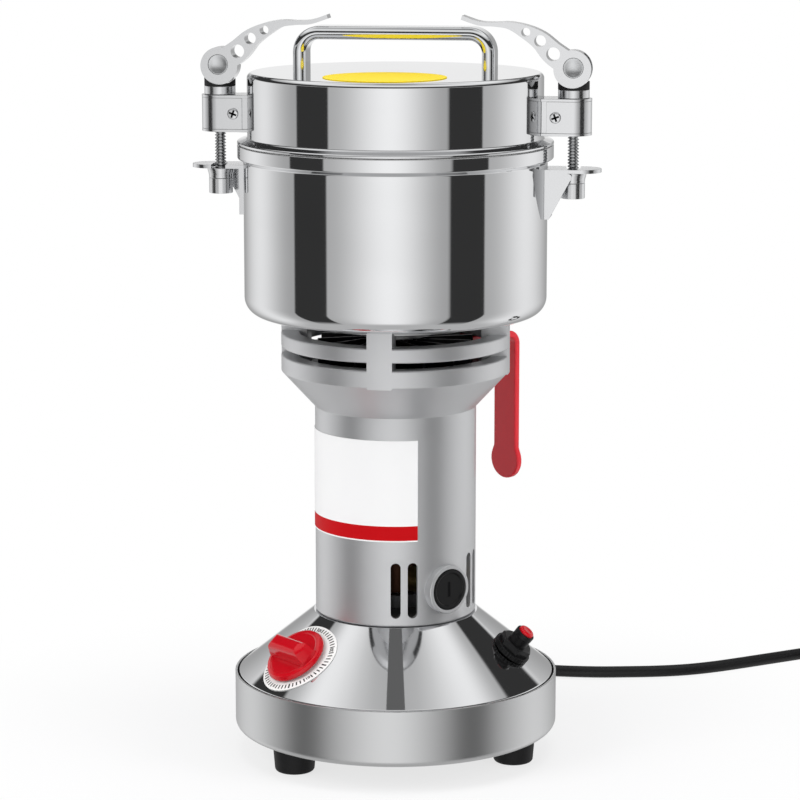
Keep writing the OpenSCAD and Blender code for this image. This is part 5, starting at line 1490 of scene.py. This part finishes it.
@dataclass
class Latches:
    """Both cam latches: rods, nuts, levers, blocks and forks.

    Attributes:
        reach: Distance of a rod from the motor's axis.
        pin_height: Height of a cross pin.
        head: Distance from the motor's axis and height of the centre of a lever's round head.
        head_radius: Radius of that head.
        lever_width: Width of a lever.
        lever_reach: Distance from the cross pin to the lever's tip, inwards.
        lever_rise: The same, upwards.
        pin_radius: Radius of a cross pin.
        spine: Shares of that reach and rise, and of the head's radius, for half the lever's height.
        holes: The same for the lever's holes and their radii.
        rod: Outer radius of a rod's thread.
        rod_core: Radius of the thread's root.
        rod_ends: Heights of a rod's ends.
        pitch: Pitch of the thread.
        nut_levels: Heights of a nut's foot, of its flutes' top and of its own top.
        screw_setback: Distance of a strap screw from its rod, towards the motor's axis.
        screw_height: Height of a strap screw.
    """

    reach: float = 97.0
    pin_height: float = 383.637
    head: Point = (96.484, 382.9)
    head_radius: float = 10.2
    lever_width: float = 11.0
    lever_reach: float = 60.5
    lever_rise: float = 26.4
    pin_radius: float = 5.45
    spine: tuple[Corner, ...] = ((0, 0, 0.62), (0.18, 0.28, 0.60), (0.297, 0.54, 0.49), (0.43, 0.72, 0.36),
                                 (0.575, 0.845, 0.19), (0.71, 0.865, 0.11), (0.845, 0.885, 0.11), (1, 1, 0.11))
    holes: tuple[Corner, ...] = ((0.18, 0.275, 0.365), (0.297, 0.54, 0.31), (0.425, 0.715, 0.24))
    rod: float = 3.1
    rod_core: float = 2.1
    rod_ends: Point = (313.4, 381.0)
    pitch: float = 1.7
    nut_levels: Corner = (313.0, 321.4, 327.0)
    screw_setback: float = 9.0
    screw_height: float = 357.3

    @staticmethod
    def mirrored(side: int) -> Matrix:
        """Leaves the right side as it is and mirrors it for the left."""
        return Matrix.Diagonal((side, 1, 1, 1))

    def lever(self) -> Shape:
        """Cam lever of the right latch, laid open."""
        along, rise, size = self.lever_reach, self.lever_rise, self.head_radius
        knots = [(self.reach - along * u, self.pin_height + rise * v, size * w) for u, v, w in self.spine]
        curve = smooth(knots, 8)
        sides: list[list[Point]] = [[], []]
        for index, knot in enumerate(curve):
            ahead = curve[min(index + 1, len(curve) - 1)] - curve[max(index - 1, 0)]
            length = math.hypot(ahead.x, ahead.y)
            for points, sign in zip(sides, (1, -1)):
                points.append((knot.x - sign * knot.z * ahead.y / length,
                               knot.y + sign * knot.z * ahead.x / length))
        width = self.lever_width
        arm = Shape().slab(sides[0] + sides[1][::-1], width)
        upright = turn(90, "X") @ shift(z=-width / 2)
        head = Shape().rod(size, width, segments=96).placed(shift(self.head[0], 0, self.head[1]) @ upright)
        arm.carved(head, Carving.JOIN)
        cuts = Shape().rod(self.pin_radius + 0.1, 3 * width, segments=64).placed(
            shift(self.reach, width, self.pin_height) @ upright)
        for u, v, w in self.holes:
            cuts.joined(Shape().rod(size * w, 3 * width, segments=40).placed(
                shift(self.reach - along * u, width, self.pin_height + rise * v) @ upright))
        arm.carved(cuts)
        arm.carved(Shape().block(14, 7, 28).placed(shift(self.reach + 3.5, 0, self.pin_height - 6.4)))
        bmesh.ops.dissolve_limit(arm.bm, angle_limit=math.radians(FLAT_DEGREES), verts=arm.bm.verts[:],
                                 edges=arm.bm.edges[:])
        return arm.softened(0.45, 3, 40.0)

    def pin(self) -> Shape:
        """Cross pin with dished ends."""
        half, dish, depth = self.lever_width / 2, 4.9, 0.95
        corners = [(dish * share, -half + depth * (1 - share ** 2), 0) for share in (0, 0.2, 0.4, 0.6, 0.8, 1)]
        corners += [(self.pin_radius, -half, 0.3)]
        pin = Shape().turned(corners + [(r, -y, s) for r, y, s in reversed(corners)], 72, 4)
        return pin.placed(shift(self.reach, 0, self.pin_height) @ turn(90, "X"))

    def threaded_rod(self, steps: int = 24) -> Shape:
        """Rod with a rolled thread, with a number of steps in each of its turns."""
        rod = Shape()
        low, high = self.rod_ends
        turns = math.ceil((high - low) / self.pitch) + 2
        edges = rod.outline([(self.rod_core, low - self.pitch), (self.rod, low - 0.6 * self.pitch),
                             (self.rod, low - 0.45 * self.pitch), (self.rod_core, low)], closed=False)
        verts = list(dict.fromkeys(vert for edge in edges for vert in edge.verts))
        bmesh.ops.spin(rod.bm, geom=verts + edges, cent=(0, 0, 0), axis=(0, 0, 1),
                       dvec=(0, 0, self.pitch / steps), angle=math.tau * turns, steps=steps * turns)
        bmesh.ops.remove_doubles(rod.bm, verts=rod.bm.verts[:], dist=10 * MERGE_MM)
        for height, up in ((low, -1), (high, 1)):
            rod.split((0, 0, height), (0, 0, up), cut_off=True)
        open_edges = [edge for edge in rod.bm.edges if edge.is_boundary]
        bmesh.ops.holes_fill(rod.bm, edges=open_edges)
        bmesh.ops.recalc_face_normals(rod.bm, faces=rod.bm.faces[:])
        return rod.placed(shift(self.reach))

    def nut(self) -> Shape:
        """Clamp nut with a flared top and a fluted body."""
        bore = self.rod + 0.1
        low, neck, high = self.nut_levels
        body = Shape().turned([(bore, low, 0), (6.6, low, 0), (6.6, neck, 0), (bore, neck, 0)], 20, 2)
        body.softened(0.35, 2, 15)
        top = Shape().turned([(bore, neck, 0), (6.5, neck, 0.3), (6.55, 323, 1.0), (7.3, 325.9, 0.4),
                              (7.3, high, 0.3), (bore, high, 0.2)], 96, 4)
        return body.joined(top).placed(shift(self.reach))

    def rod_end(self, side: int, name: str) -> None:
        """Lever, pin, rod and nut of one latch."""
        steel = FINISHES["latch_steel"]
        flip = self.mirrored(side)
        add_piece(f"lever_{name}_satin", self.lever().placed(flip), steel, f"lever_{name}",
                  [f"lever_{name}"], sharp=30.0)
        add_piece(f"cross_pin_{name}_dished", self.pin().placed(flip), FINISHES["pin_satin"],
                  f"rod_{name}", [f"cross_pin_{name}"])
        add_piece(f"rod_{name}_threaded", self.threaded_rod().placed(flip), FINISHES["bearing_steel"],
                  f"rod_{name}", [f"rod_{name}"], sharp=24.0)
        add_piece(f"clamp_nut_{name}_fluted", self.nut().placed(flip), steel, f"nut_{name}",
                  [f"clamp_nut_{name}"])

    def copies(self) -> None:
        """Blocks, straps, collars, pads and forks, as packed, with softened edges."""
        plans: tuple[tuple[str, str, float, str], ...] = (
            ("latch_blocks", "latch_steel", 0.25, "lid"), ("latch_straps", "latch_steel", 0.2, "lid"),
            ("latch_collars", "latch_steel", 0.35, "lid"), ("cam_pads", "rubber_black", 0.25, "lid"),
            ("fork_brackets", "latch_steel", 0.3, "stand"))
        for node, finish, soft, body in plans:
            shape = Shape.of_node(node).softened(soft, 2)
            add_piece(f"{node}_edged", shape, FINISHES[finish], body, [node])

    def screws(self) -> None:
        """Strap screws with a cross in each end, and dark sheets of painted shade at the floors of the
        crosses.
        """
        screws, shades = Shape(), Shape()
        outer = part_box("strap_screws")[1][1] / MM
        for side in (1, -1):
            place = self.mirrored(side) @ shift(self.reach - self.screw_setback, 0, self.screw_height)
            screw = Shape()
            for face in (0, 180):
                head = Shape().turned([(0, outer - 3, 0), (3.15, outer - 3, 0.1), (3.05, outer - 0.2, 0.7),
                                       (0, outer, 0)], 40, 5)
                for angle in (20, 110):
                    head.carved(Shape().block(4.4, 1.1, 4.8).placed(turn(angle, "Z") @ shift(z=outer)))
                    # A dark sheet inside each cross recess: painted shade.
                    shades.joined(Shape().block(4.2, 1.0, 0.3).placed(
                        place @ turn(90 + face, "X") @ turn(angle, "Z") @ shift(z=outer - 0.75)))
                screw.joined(head.placed(turn(face, "X")))
            screw.joined(Shape().rod(1.5, 2 * outer - 6, segments=24).placed(shift(z=3 - outer)))
            screws.joined(screw.placed(place @ turn(90, "X")))
        add_piece("strap_screws_cross", screws, FINISHES["latch_steel"], "lid", ["strap_screws"])
        add_piece("strap_screws_shade", shades, FINISHES["print_ink_and_painted_shade"], "lid")

    def build(self) -> None:
        """Builds both latches."""
        self.copies()
        self.screws()
        for side, name in ((1, "right"), (-1, "left")):
            self.rod_end(side, name)


def dress_the_rest() -> None:
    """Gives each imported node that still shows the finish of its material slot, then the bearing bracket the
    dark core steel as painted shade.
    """
    slots = {part["node"]: part["material_slot"] for part in frame["record"]["subparts"]}
    for node in frame["nodes"]:
        dress(node, FINISHES[slots[node]])
    # The bearing bracket takes the dark core steel in place of its own finish: painted shade inside the
    # housing.
    dress("bearing_bracket", FINISHES["core_steel"])


def main() -> None:
    """Builds the studio, the cord and then the mill from its base up."""
    logging.basicConfig(level=logging.INFO, format="%(name)s %(message)s")
    dress_the_rest()
    for assembly in (Studio(), Mains(), Base(), Column(), Vessel(), Latches()):
        assembly.build()


if __name__ == "__main__":
    main()
